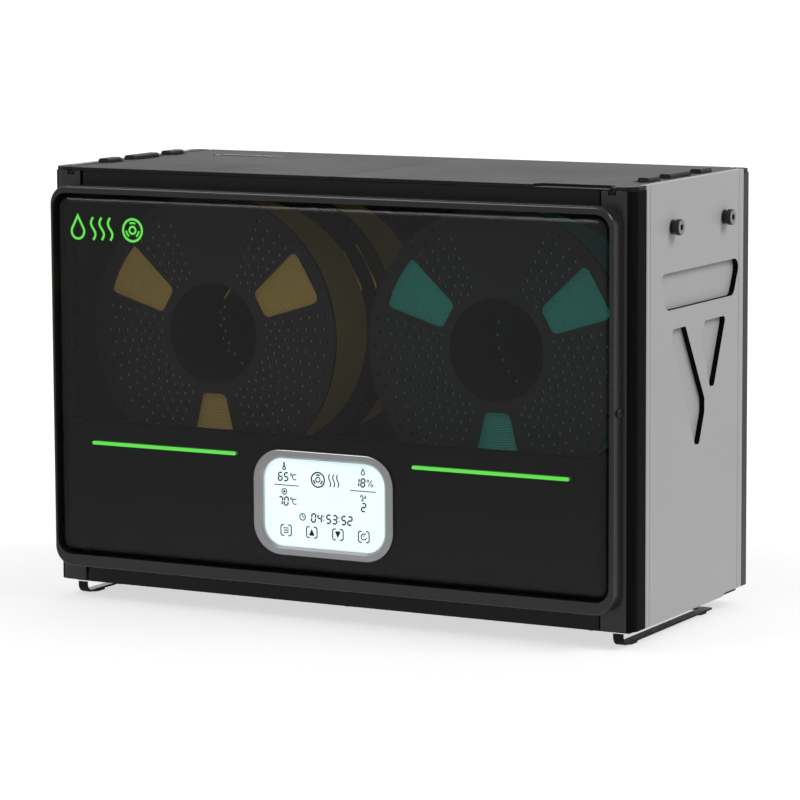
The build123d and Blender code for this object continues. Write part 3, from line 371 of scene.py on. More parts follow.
def two_colours(tree, factor, a, b):
    """Colour that runs from a to b with the factor."""
    mix = node(tree, "ShaderNodeMix", data_type="RGBA")
    mix.inputs["A"].default_value = (*a, 1.0)
    mix.inputs["B"].default_value = (*b, 1.0)
    tree.links.new(factor, mix.inputs["Factor"])
    return mix.outputs["Result"]


def bump(tree, height, surface, distance, strength=0.5):
    """Raise the surface by a height map."""
    made = node(tree, "ShaderNodeBump", {"Strength": strength, "Distance": distance})
    tree.links.new(height, made.inputs["Height"])
    tree.links.new(made.outputs["Normal"], surface.inputs["Normal"])
    return made


def moulded(name, colour, light, rough=(0.4, 0.55), grain=900.0, depth=0.03 * MM, dust=0.25, **sockets):
    """Moulded plastic or coated metal: base colour to light colour, with grain, smudges and dust."""
    material, tree, surface = shader(name, **sockets)
    texture = place_group(tree, GRAIN, Grain_Scale=grain)
    marks = place_group(tree, MARKS, Dust_Amount=dust)
    blend = node(tree, "ShaderNodeMath", operation="MAXIMUM")
    tree.links.new(marks.outputs["Dust"], blend.inputs[0])
    shade = between(tree, texture.outputs["Variation"], 0.0, 0.3)
    tree.links.new(shade, blend.inputs[1])
    tree.links.new(two_colours(tree, blend.outputs["Value"], colour, light), surface.inputs["Base Color"])
    tree.links.new(between(tree, marks.outputs["Smudge"], *rough), surface.inputs["Roughness"])
    bump(tree, texture.outputs["Height"], surface, depth)
    return material


def brushed(name, colour, rough, depth=0.02 * MM, **sockets):
    """Brushed metal."""
    material, tree, surface = shader(name, Metallic=1.0, **sockets)
    lines = place_group(tree, BRUSHED)
    dark = tuple(0.8 * c for c in colour)
    tree.links.new(two_colours(tree, lines.outputs["Height"], dark, colour), surface.inputs["Base Color"])
    spread = between(tree, lines.outputs["Height"], rough - 0.08, rough + 0.08)
    tree.links.new(spread, surface.inputs["Roughness"])
    bump(tree, lines.outputs["Height"], surface, depth, 0.4)
    return material


def filament(name, colour, groove_shade, centre):
    """Wound filament with painted shade in the grooves between turns, a painted highlight on their
    crests, and a painted glow that is brighter on the flat sides than on the round outside.
    """
    # The emission is painted light: the filament gives off none of its own.
    material, tree, surface = shader(name, Specular_IOR_Level=0.5, Emission_Strength=0.16)
    turns = place_group(tree, TURNS, Centre_X=centre.x, Centre_Z=centre.z)
    mixed = node(tree, "ShaderNodeMath", operation="MULTIPLY")
    tree.links.new(turns.outputs["Height"], mixed.inputs[0])
    tree.links.new(between(tree, turns.outputs["Shade"], 0.8, 1.2), mixed.inputs[1])
    tint = two_colours(tree, mixed.outputs["Value"], groove_shade, colour)
    tree.links.new(tint, surface.inputs["Base Color"])
    # Painted glow colour: the tint on the flat sides, a dim shade of it on the round outside.
    glow = node(tree, "ShaderNodeMix", data_type="RGBA")
    glow.inputs["A"].default_value = tuple(0.25 * c for c in groove_shade) + (1.0,)
    tree.links.new(turns.outputs["Side"], glow.inputs["Factor"])
    tree.links.new(tint, glow.inputs["B"])
    tree.links.new(glow.outputs["Result"], surface.inputs["Emission Color"])
    tree.links.new(between(tree, turns.outputs["Shade"], 0.3, 0.5), surface.inputs["Roughness"])
    bump(tree, turns.outputs["Height"], surface, 0.5 * MM, 0.8)
    return material


def side_paint(colour, light, crease_shade):
    """Satin paint of the side panels, with painted shade along its two fold lines."""
    material = moulded("side_grey", colour, light, (0.34, 0.44), grain=1600.0, depth=0.01 * MM, dust=0.1)
    tree = material.node_tree
    surface = tree.nodes["Principled BSDF"]
    paint = surface.inputs["Base Color"].links[0].from_socket
    lines = place_group(tree, FOLDS)
    lines.inputs["Front Line"].default_value = SHELL_FRONT + FRONT_FOLD
    lines.inputs["Rear Line"].default_value = SHELL_FRONT + REAR_FOLD
    mix = node(tree, "ShaderNodeMix", data_type="RGBA")
    mix.inputs["B"].default_value = (*crease_shade, 1.0)
    tree.links.new(lines.outputs["Mask"], mix.inputs["Factor"])
    tree.links.new(paint, mix.inputs["A"])
    tree.links.new(mix.outputs["Result"], surface.inputs["Base Color"])
    return material


def glowing(name, colour, strength, rough=0.35):
    """Lit plastic with faintly uneven brightness."""
    material, tree, surface = shader(name, Roughness=rough, Emission_Strength=strength)
    marks = place_group(tree, MARKS, Dust_Amount=0.0)
    dim = tuple(0.9 * c for c in colour)
    glow = two_colours(tree, marks.outputs["Smudge"], colour, dim)
    tree.links.new(glow, surface.inputs["Base Color"])
    tree.links.new(glow, surface.inputs["Emission Color"])
    return material


def smoked_clear():
    """Glossy smoked plastic that lets part of the view through."""
    material, tree, surface = shader("smoked_clear", Alpha=0.42, IOR=1.46)
    surface.inputs["Base Color"].default_value = (0.012, 0.012, 0.013, 1)
    marks = place_group(tree, MARKS, Smudge_Scale=6.0, Dust_Amount=0.0)
    tree.links.new(between(tree, marks.outputs["Smudge"], 0.09, 0.14), surface.inputs["Roughness"])
    return material


M = {
    "fascia": moulded(
        "fascia_black", (0.006, 0.006, 0.0065), (0.011, 0.011, 0.012), (0.3, 0.38), depth=0.015 * MM,
        Specular_IOR_Level=0.24,
    ),
    "frame": moulded(
        "frame_black", (0.012, 0.012, 0.013), (0.02, 0.02, 0.021), (0.2, 0.28), depth=0.01 * MM
    ),
    "post": moulded("post_grey_black", (0.018, 0.018, 0.019), (0.028, 0.028, 0.029), (0.26, 0.34)),
    # Near-black with weak specular: painted shade for the round corners and sides of the front posts and
    # for the walls of the side-panel recesses.
    "chamfer": moulded(
        "corner_and_recess_shade", (0.002, 0.002, 0.002), (0.004, 0.004, 0.004), (0.5, 0.6), Specular_IOR_Level=0.06
    ),
    "backing": moulded(
        "backing_black", (0.006, 0.006, 0.006), (0.009, 0.009, 0.009), (0.6, 0.7), depth=0.004 * MM,
        Specular_IOR_Level=0.2,
    ),
    "lid": moulded(
        "lid_graphite", (0.016, 0.016, 0.017), (0.027, 0.027, 0.028), (0.46, 0.56), grain=1400.0
    ),
    "dark_part": moulded("hinge_black", (0.008, 0.008, 0.008), (0.014, 0.014, 0.014), (0.4, 0.5)),
    # The third colour is the painted shade along the fold lines.
    "side": side_paint((0.43, 0.43, 0.433), (0.48, 0.48, 0.483), (0.2, 0.2, 0.2)),
    "steel_black": moulded(
        "coated_steel", (0.006, 0.006, 0.006), (0.012, 0.012, 0.012), (0.42, 0.54), Specular_IOR_Level=0.2
    ),
    "rubber": moulded(
        "rubber_black", (0.012, 0.012, 0.012), (0.03, 0.03, 0.03), (0.7, 0.85), depth=0.06 * MM
    ),
    "lining": moulded("lining_grey", (0.02, 0.02, 0.02), (0.03, 0.03, 0.03), (0.5, 0.7)),
    # Bright metal used only as painted highlight: the far wall of the left lid pocket and the upper side
    # of the runners.
    "painted_highlight": brushed("painted_highlight_edge", (0.85, 0.84, 0.87), 0.3),
    "collar": brushed("collar_metal", (0.5, 0.5, 0.5), 0.4),
    "spool": moulded("spool_plastic", (0.05, 0.052, 0.056), (0.075, 0.077, 0.082), (0.4, 0.5)),
    "board": moulded("circuit_green", (0.01, 0.11, 0.04), (0.02, 0.16, 0.06), (0.35, 0.5)),
    "bezel": brushed("bezel_silver", (0.48, 0.48, 0.49), 0.3),
    "aluminium": brushed("mill_aluminium", (0.6, 0.6, 0.61), 0.38),
    "brass": brushed("turned_brass", (0.55, 0.38, 0.14), 0.35),
    "smoked": smoked_clear(),
    "green": glowing("green_light", (0.11, 0.7, 0.07), 0.45),
    "white": glowing("display_white", (0.78, 0.94, 0.95), 0.55, 0.3),
    "digits": moulded("display_ink", (0.012, 0.016, 0.02), (0.02, 0.025, 0.03), (0.4, 0.5), dust=0.0),
}

for side in ("left", "right"):
    axis_spot = joint_spot(f"front_{side}_spool_spin")
    if side == "left":
        M["filament_left"] = filament("filament_yellow", (1.0, 0.74, 0.2), (0.74, 0.52, 0.12), axis_spot)
    else:
        M["filament_right"] = filament("filament_teal", (0.08, 0.72, 0.56), (0.04, 0.5, 0.39), axis_spot)

MATERIAL_NODES = {
    "steel_black": ("base_pan", "runner_feet", "rear_panel"),
    "rubber": ("foot_pads",),
    "fascia": ("front_shell",),
    "frame": ("front_frame",),
    "smoked": ("front_window",),
    "backing": ("lower_backing",),
    "green": ("light_strips",),
    "bezel": ("display_bezel",),
    "white": ("display_screen",),
    "board": ("display_board", "main_board"),
    "post": ("front_posts", "rear_posts"),
    "side": ("left_side_panel", "right_side_panel"),
    "lid": ("top_frame",),
    "dark_part": (
        "hinge_knuckles", "hinge_pins", "roller_cradles", "filament_outlets", "humidity_sensor",
        "fan_frames", "power_inlet", "switch_housing", "case_screws", "power_rocker",
    ),
    "lining": ("chamber_floor", "chamber_linings"),
    "brass": ("roller_bushes",),
    "aluminium": ("air_ducts", "ptc_heaters", "power_supply"),
}
NODE_MATERIALS = {name: key for key, names in MATERIAL_NODES.items() for name in names}
for name, made in frame["nodes"].items():
    key = NODE_MATERIALS.get(name)
    if name.endswith("_lid"):
        key = "lid"
    elif name.endswith("_liner"):
        key = "lining"
    elif name.endswith("_seal") or "_roller_" in name:
        key = "rubber"
    elif name.endswith("_spool"):
        key = "spool"
    elif name.endswith("_filament"):
        key = "filament_left" if "left" in name else "filament_right"
    elif name.endswith("_rotor"):
        key = "dark_part"
    made.data.materials.clear()
    made.data.materials.append(M[key])


# ---------------------------------------------------------------- dressed case pieces

PANEL_LOW, PANEL_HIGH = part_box("right_side_panel")
TOP = high("right_lid").z
LID_UNDERSIDE = high("right_lid_liner").z


def post_face(spot, normal):
    """Front of a post grey-black; its round corner and side get near-black painted shade."""
    return 1 if spot.x * normal.x > 0.4 * abs(spot.x) else 0


def panel_face(spot, normal):
    """Walls of the pressed recesses get near-black painted shade, the rest the satin side paint."""
    margin = 4 * MM
    inside_y = PANEL_LOW.y + margin < spot.y < PANEL_HIGH.y - margin
    inside_z = PANEL_LOW.z + margin < spot.z < PANEL_HIGH.z - margin
    return 1 if abs(normal.x) < 0.6 and inside_y and inside_z else 0


def lid_face(spot, normal):
    """Top of a lid satin; its edges and pocket walls get the darker fascia black as painted shade, and
    the far wall of the left finger pocket gets bright metal as a painted highlight.
    """
    inside = low("front_shell").y + 5 * MM < spot.y < high("rear_posts").y - 5 * MM
    in_pocket = LID_UNDERSIDE + 0.6 * MM < spot.z < TOP - 0.3 * MM
    if spot.x < 0 and in_pocket and normal.y < -0.25 and inside:
        return 2
    if normal.z > 0.7 and spot.z > TOP - 0.4 * MM:
        return 0
    return 1


def outlet_face(spot, normal):
    """End of a tube outlet bare metal, the rest black."""
    return 1 if abs(normal.x) > 0.9 and abs(spot.x) > high("filament_outlets").x - 0.4 * MM else 0


def top_face(spot, normal):
    """Top of the cover strips satin; their edges get the darker fascia black as painted shade."""
    return 0 if normal.z > 0.7 else 1


def strap_face(spot, normal):
    """Upper side of the runners gets bright metal as a painted reflection, the rest coated black."""
    return 1 if normal.z > 0.8 and spot.z < CASE_LOW / 2 else 0


dressed_copy("front_posts", "case", [M["post"], M["chamfer"]], post_face, 0.3 * MM)
for side in ("left", "right"):
    dressed_copy(
        f"{side}_side_panel", "case", [M["side"], M["chamfer"]], panel_face, 0.4 * MM
    )
    lid_materials = [M["lid"], M["fascia"], M["painted_highlight"]]
    dressed_copy(f"{side}_lid", f"{side}_lid", lid_materials, lid_face, 0.2 * MM)
outlet_materials = [M["dark_part"], M["collar"]]
dressed_copy("filament_outlets", "case", outlet_materials, outlet_face, 0.15 * MM)
dressed_copy("top_frame", "case", [M["lid"], M["fascia"]], top_face, 0.2 * MM)
strap_materials = [M["steel_black"], M["painted_highlight"]]
dressed_copy("runner_feet", "case", strap_materials, strap_face, 0.3 * MM)


# ---------------------------------------------------------------- perforated spools

BORE_RADIUS = 36 * MM
HUB_WALL = 4 * MM
WINDOW_CENTRES = (30.0, 150.0, 270.0)
WINDOW_HALF_ANGLE = 13.0
WINDOW_REACH = (43 * MM, 90 * MM)
WINDOW_ROUND = 5 * MM
SPOKE_STAGGER = 0.45
RIM_MARGIN = 4.5 * MM
# Sectors without holes on the right half: centre and half angle in degrees.
CLEAR_SECTORS = ((30.0, 15.5), (-90.0, 15.5), (90.0, 24.0))


def round_corner(before, corner, after, radius, steps=5):
    """Points of an arc that rounds a corner between two straight edges."""
    one = (before - corner).normalized()
    two = (after - corner).normalized()
    half = one.angle(two) / 2
    centre = corner + (one + two).normalized() * (radius / math.sin(half))
    start = corner + one * (radius / math.tan(half)) - centre
    end = corner + two * (radius / math.tan(half)) - centre
    turn = start.angle_signed(end)
    return [centre + Matrix.Rotation(-turn * k / steps, 2) @ start for k in range(steps + 1)]


def window_outline(centre_degrees):
    """Closed outline of one large flange window."""
    slope = math.tan(math.radians(WINDOW_HALF_ANGLE))
    inner, outer = WINDOW_REACH
    corners = [
        Vector((inner, -inner * slope)), Vector((outer, -outer * slope)),
        Vector((outer, outer * slope)), Vector((inner, inner * slope)),
    ]
    points = []
    for k in range(4):
        points += round_corner(corners[k - 1], corners[k], corners[(k + 1) % 4], WINDOW_ROUND)
    turn = Matrix.Rotation(math.radians(centre_degrees), 2)
    return [turn @ p for p in points]


def math_node(tree, operation, a, b=None):
    """Math node whose inputs are sockets or numbers."""
    made = tree.nodes.new("ShaderNodeMath")
    made.operation = operation
    for slot_number, value in enumerate((a, b)):
        if isinstance(value, bpy.types.NodeSocket):
            tree.links.new(value, made.inputs[slot_number])
        elif value is not None:
            made.inputs[slot_number].default_value = value
    return made.outputs["Value"]


def flange_tree():
    """Flat flange with a rim, a bore, the windows it is given, and small holes along spokes."""
    tree = bpy.data.node_groups.new("perforated_flange", "GeometryNodeTree")
    tree.interface.new_socket("Geometry", in_out="INPUT", socket_type="NodeSocketGeometry")
    tree.interface.new_socket("Geometry", in_out="OUTPUT", socket_type="NodeSocketGeometry")
    numbers = {
        "Rim Radius": 0.1, "Bore Radius": 0.036, "Thickness": 0.003, "Hole Radius": 0.0015,
        "First Row": 0.0438, "Row Pitch": 0.00725, "Spoke Pitch": math.radians(6),
        "First Spoke": math.radians(-67),
    }
    for label, value in numbers.items():
        socket = tree.interface.new_socket(label, in_out="INPUT", socket_type="NodeSocketFloat")
        socket.default_value = value
    for label, value in {"Spokes": 23, "Rows": 8, "Seed": 4}.items():
        socket = tree.interface.new_socket(label, in_out="INPUT", socket_type="NodeSocketInt")
        socket.default_value = value
    tree.interface.new_socket("Material", in_out="INPUT", socket_type="NodeSocketMaterial")
    given, out = tree.nodes.new("NodeGroupInput"), tree.nodes.new("NodeGroupOutput")
    link = tree.links.new

    count = math_node(tree, "MULTIPLY", given.outputs["Spokes"], given.outputs["Rows"])
    points = tree.nodes.new("GeometryNodePoints")
    link(count, points.inputs["Count"])
    index = tree.nodes.new("GeometryNodeInputIndex").outputs["Index"]
    middle = math_node(tree, "ADD", index, 0.5)
    spoke = math_node(tree, "FLOOR", math_node(tree, "DIVIDE", middle, given.outputs["Rows"]))
    row = math_node(tree, "SUBTRACT", index, math_node(tree, "MULTIPLY", spoke, given.outputs["Rows"]))
    turned = math_node(tree, "MULTIPLY", spoke, given.outputs["Spoke Pitch"])
    angle = math_node(tree, "ADD", turned, given.outputs["First Spoke"])
    even = math_node(tree, "SUBTRACT", 1.0, math_node(tree, "MODULO", spoke, 2.0))
    stagger = math_node(tree, "MULTIPLY", even, SPOKE_STAGGER)
    reach = math_node(tree, "MULTIPLY", math_node(tree, "ADD", row, stagger), given.outputs["Row Pitch"])
    radius = math_node(tree, "ADD", reach, given.outputs["First Row"])
    jitter = tree.nodes.new("FunctionNodeRandomValue")
    jitter.data_type = "FLOAT"
    low_socket, high_socket = [s for s in jitter.inputs if s.type == "VALUE" and s.enabled][:2]
    low_socket.default_value, high_socket.default_value = 0.96, 1.04
    link(given.outputs["Seed"], jitter.inputs["Seed"])
    spot = tree.nodes.new("ShaderNodeCombineXYZ")
    link(math_node(tree, "MULTIPLY", radius, math_node(tree, "COSINE", angle)), spot.inputs["X"])
    link(math_node(tree, "MULTIPLY", radius, math_node(tree, "SINE", angle)), spot.inputs["Y"])
    place = tree.nodes.new("GeometryNodeSetPosition")
    link(points.outputs["Geometry"], place.inputs["Geometry"])
    link(spot.outputs["Vector"], place.inputs["Position"])

    # A spoke that would meet a window or the plain top sector, or a hole too near the rim, is left out.
    blocked = None
    for centre_degrees, margin_degrees in CLEAR_SECTORS:
        offset = math_node(tree, "SUBTRACT", angle, math.radians(centre_degrees))
        away = math_node(tree, "ABSOLUTE", offset)
        near = math_node(tree, "LESS_THAN", away, math.radians(margin_degrees))
        blocked = near if blocked is None else math_node(tree, "MAXIMUM", blocked, near)
    last_row = math_node(tree, "SUBTRACT", given.outputs["Rim Radius"], RIM_MARGIN)
    edge = math_node(tree, "GREATER_THAN", radius, last_row)
    trim = tree.nodes.new("GeometryNodeDeleteGeometry")
    trim.domain = "POINT"
    link(place.outputs["Geometry"], trim.inputs["Geometry"])
    link(math_node(tree, "MAXIMUM", blocked, edge), trim.inputs["Selection"])

    hole = tree.nodes.new("GeometryNodeCurvePrimitiveCircle")
    hole.inputs["Resolution"].default_value = 8
    link(given.outputs["Hole Radius"], hole.inputs["Radius"])
    holes = tree.nodes.new("GeometryNodeInstanceOnPoints")
    link(trim.outputs["Geometry"], holes.inputs["Points"])
    link(hole.outputs["Curve"], holes.inputs["Instance"])
    link(next(s for s in jitter.outputs if s.enabled), holes.inputs["Scale"])
    mirror = tree.nodes.new("GeometryNodeTransform")
    mirror.inputs["Scale"].default_value = (-1, 1, 1)
    link(holes.outputs["Instances"], mirror.inputs["Geometry"])

    rim = tree.nodes.new("GeometryNodeCurvePrimitiveCircle")
    rim.inputs["Resolution"].default_value = 128
    link(given.outputs["Rim Radius"], rim.inputs["Radius"])
    bore = tree.nodes.new("GeometryNodeCurvePrimitiveCircle")
    bore.inputs["Resolution"].default_value = 96
    link(given.outputs["Bore Radius"], bore.inputs["Radius"])
    windows = tree.nodes.new("GeometryNodeMeshToCurve")
    link(given.outputs["Geometry"], windows.inputs["Mesh"])

    outline = tree.nodes.new("GeometryNodeJoinGeometry")
    for source in (rim.outputs["Curve"], bore.outputs["Curve"], windows.outputs["Curve"],
                   holes.outputs["Instances"], mirror.outputs["Geometry"]):
        link(source, outline.inputs["Geometry"])
    real = tree.nodes.new("GeometryNodeRealizeInstances")
    link(outline.outputs["Geometry"], real.inputs["Geometry"])
    fill = tree.nodes.new("GeometryNodeFillCurve")
    link(real.outputs["Geometry"], fill.inputs["Curve"])
    wall = tree.nodes.new("GeometryNodeExtrudeMesh")
    wall.inputs["Individual"].default_value = False
    link(fill.outputs["Mesh"], wall.inputs["Mesh"])
    link(given.outputs["Thickness"], wall.inputs["Offset Scale"])
    under = tree.nodes.new("GeometryNodeFlipFaces")
    link(fill.outputs["Mesh"], under.inputs["Mesh"])
    whole = tree.nodes.new("GeometryNodeJoinGeometry")
    link(wall.outputs["Mesh"], whole.inputs["Geometry"])
    link(under.outputs["Mesh"], whole.inputs["Geometry"])
    weld = tree.nodes.new("GeometryNodeMergeByDistance")
    weld.inputs["Distance"].default_value = 1e-6
    link(whole.outputs["Geometry"], weld.inputs["Geometry"])
    solid = tree.nodes.new("GeometryNodeRealizeInstances")
    link(weld.outputs["Geometry"], solid.inputs["Geometry"])
    paint = tree.nodes.new("GeometryNodeSetMaterial")
    link(solid.outputs["Geometry"], paint.inputs["Geometry"])
    link(given.outputs["Material"], paint.inputs["Material"])
    link(paint.outputs["Geometry"], out.inputs["Geometry"])
    return tree


def set_input(modifier, label, value):
    """Set a Geometry Nodes modifier input by its label."""
    for item in modifier.node_group.interface.items_tree:
        if item.item_type == "SOCKET" and item.in_out == "INPUT" and item.name == label:
            modifier[item.identifier] = value


def flange_mesh(tree, material):
    """Finished perforated flange lying in the XY plane, its outer face up."""
    outlines = bmesh.new()
    for centre_degrees in WINDOW_CENTRES:
        ring = [outlines.verts.new((p.x, p.y, 0)) for p in window_outline(centre_degrees)]
        for k in range(len(ring)):
            outlines.edges.new((ring[k - 1], ring[k]))
    mesh = bpy.data.meshes.new("flange_windows")
    outlines.to_mesh(mesh)
    outlines.free()
    holder = bpy.data.objects.new("flange_windows", mesh)
    bpy.context.scene.collection.objects.link(holder)
    modifier = holder.modifiers.new("flange", "NODES")
    modifier.node_group = tree
    set_input(modifier, "Rim Radius", FLANGE_RADIUS)
    set_input(modifier, "Thickness", FLANGE_THICKNESS)
    set_input(modifier, "Bore Radius", BORE_RADIUS)
    set_input(modifier, "Seed", 4)
    set_input(modifier, "Material", material)
    holder.update_tag()
    made = bpy.data.meshes.new_from_object(
        holder.evaluated_get(bpy.context.evaluated_depsgraph_get())
    )
    bpy.data.objects.remove(holder)
    return made


def add_lathe(shape, profile, steps=96, closed=True):
    """Turn a profile of (radius, height) points around Z and add it to a bmesh."""
    rings = []
    for radius, height in profile:
        angles = [2 * math.pi * k / steps for k in range(steps)]
        rings.append([
            shape.verts.new((radius * math.cos(a), radius * math.sin(a), height)) for a in angles
        ])
    pairs = list(zip(rings, rings[1:] + rings[:1])) if closed else list(zip(rings, rings[1:]))
    for one, two in pairs:
        for k in range(steps):
            shape.faces.new((one[k - 1], one[k], two[k], two[k - 1]))


def finished_spool(name, flange):
    """Perforated spool: two flanges and a plain hub tube between them."""
    box_low, box_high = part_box(name)
    spot = joint_spot(name + "_spin")
    width = box_high.y - box_low.y
    inner = width / 2 - FLANGE_THICKNESS
    shape = bmesh.new()
    shape.from_mesh(flange)
    bmesh.ops.translate(shape, verts=shape.verts, vec=(0, 0, inner))
    other = bmesh.new()
    other.from_mesh(flange)
    bmesh.ops.scale(other, vec=(1, 1, -1), verts=other.verts)
    bmesh.ops.reverse_faces(other, faces=other.faces)
    bmesh.ops.translate(other, verts=other.verts, vec=(0, 0, -inner))
    spare = bpy.data.meshes.new("spare")
    other.to_mesh(spare)
    other.free()
    shape.from_mesh(spare)
    bpy.data.meshes.remove(spare)
    reach = inner - 0.05 * MM
    add_lathe(shape, [
        (BORE_RADIUS, -reach), (BORE_RADIUS, reach),
        (BORE_RADIUS + HUB_WALL, reach), (BORE_RADIUS + HUB_WALL, -reach),
    ])
    bmesh.ops.recalc_face_normals(shape, faces=shape.faces)
    mesh = bpy.data.meshes.new(name + "_finished")
    shape.to_mesh(mesh)
    shape.free()
    # The flange lies in XY with its outer face up; standing up, that face looks to the front.
    mesh.transform(Matrix.Translation(spot) @ Matrix.Rotation(math.radians(90), 4, "X"))
    smooth_by_angle(mesh, 35)
    piece = bpy.data.objects.new(name + "_finished", mesh)
    bpy.context.scene.collection.objects.link(piece)
    mesh.materials.clear()
    mesh.materials.append(M["spool"])
    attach(piece, name)
    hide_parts(name)
    return piece


plain_flange = flange_mesh(flange_tree(), M["spool"])
for row in ("front", "rear"):
    for side in ("left", "right"):
        finished_spool(f"{row}_{side}_spool", plain_flange)
bpy.data.meshes.remove(plain_flange)


# ---------------------------------------------------------------- printed marks and display

def add_ribbon(shape, points, width, front, depth, closed=False):
    """Flat stroke along points (x, z) of the front, as a thin solid behind the plane y = front."""
    path = [Vector(p) for p in points]
    count = len(path)
    sides = []
    for k, spot in enumerate(path):
        before = path[k - 1] if k or closed else None
        after = path[(k + 1) % count] if k + 1 < count or closed else None
        one = (spot - before).normalized() if before is not None else (after - spot).normalized()
        two = (after - spot).normalized() if after is not None else one
        mean = (one + two).normalized()
        across = Vector((-mean.y, mean.x))
        reach = width / 2 / max(0.35, across.dot(Vector((-one.y, one.x))))
        sides.append((spot + across * reach, spot - across * reach))
    corners = [
        [shape.verts.new((p.x, y, p.y)) for p in pair for y in (front, front + depth)] for pair in sides
    ]
    pairs = list(zip(corners, corners[1:] + corners[:1])) if closed else list(zip(corners, corners[1:]))
    for a, b in pairs:
        for one, two in ((0, 1), (1, 3), (3, 2), (2, 0)):
            shape.faces.new((a[one], a[two], b[two], b[one]))
    if not closed:
        shape.faces.new((corners[0][0], corners[0][2], corners[0][3], corners[0][1]))
        shape.faces.new((corners[-1][0], corners[-1][1], corners[-1][3], corners[-1][2]))


def arc(x, z, radius, start, end, steps=20):
    """Points of an arc, angles in degrees."""
    return [
        (x + radius * math.cos(math.radians(start + (end - start) * k / steps)),
         z + radius * math.sin(math.radians(start + (end - start) * k / steps)))
        for k in range(steps + 1)
    ]


def ring(x, z, radius, steps=28):
    """Points once around a circle, without repeating the first."""
    return arc(x, z, radius, 0, 360 - 360 / steps, steps - 1)


def drop(x, z, size, steps=22):
    """Closed outline of a water drop that stands on its round end."""
    belly = [(x + size * math.sin(math.radians(a)), z - size * math.cos(math.radians(a)))
             for a in [-125 + 250 * k / steps for k in range(steps + 1)]]
    return belly + [(x, z + size * 2.1)]


SEGMENTS = {
    "0": "abcdef", "1": "bc", "2": "abged", "3": "abgcd", "4": "fgbc", "5": "afgcd",
    "6": "afgedc", "7": "abc", "8": "abcdefg", "9": "abcdfg",
}


def digit_strokes(character, x, z, height):
    """Strokes of a seven-segment digit whose lower left corner is (x, z)."""
    width = height * 0.52
    gap = height * 0.05
    lean = 0.09
    ends = {
        "a": ((0, 1), (1, 1)), "b": ((1, 1), (1, 0.5)), "c": ((1, 0.5), (1, 0)), "d": ((0, 0), (1, 0)),
        "e": ((0, 0.5), (0, 0)), "f": ((0, 1), (0, 0.5)), "g": ((0, 0.5), (1, 0.5)),
    }
    strokes = []
    for name in SEGMENTS[character]:
        one, two = (Vector((p[0] * width, p[1] * height)) for p in ends[name])
        along = (two - one).normalized() * gap
        strokes.append([
            (x + p.x + lean * p.y, z + p.y) for p in (one + along, two - along)
        ])
    return strokes


def ink_piece(name, strokes, front, depth, body, material):
    """One mesh made of many strokes (points, width, closed)."""
    shape = bmesh.new()
    for points, width, closed in strokes:
        add_ribbon(shape, points, width, front, depth, closed)
    bmesh.ops.recalc_face_normals(shape, faces=shape.faces)
    mesh = bpy.data.meshes.new(name)
    shape.to_mesh(mesh)
    shape.free()
    return finish_mesh(name, mesh, body, [material])


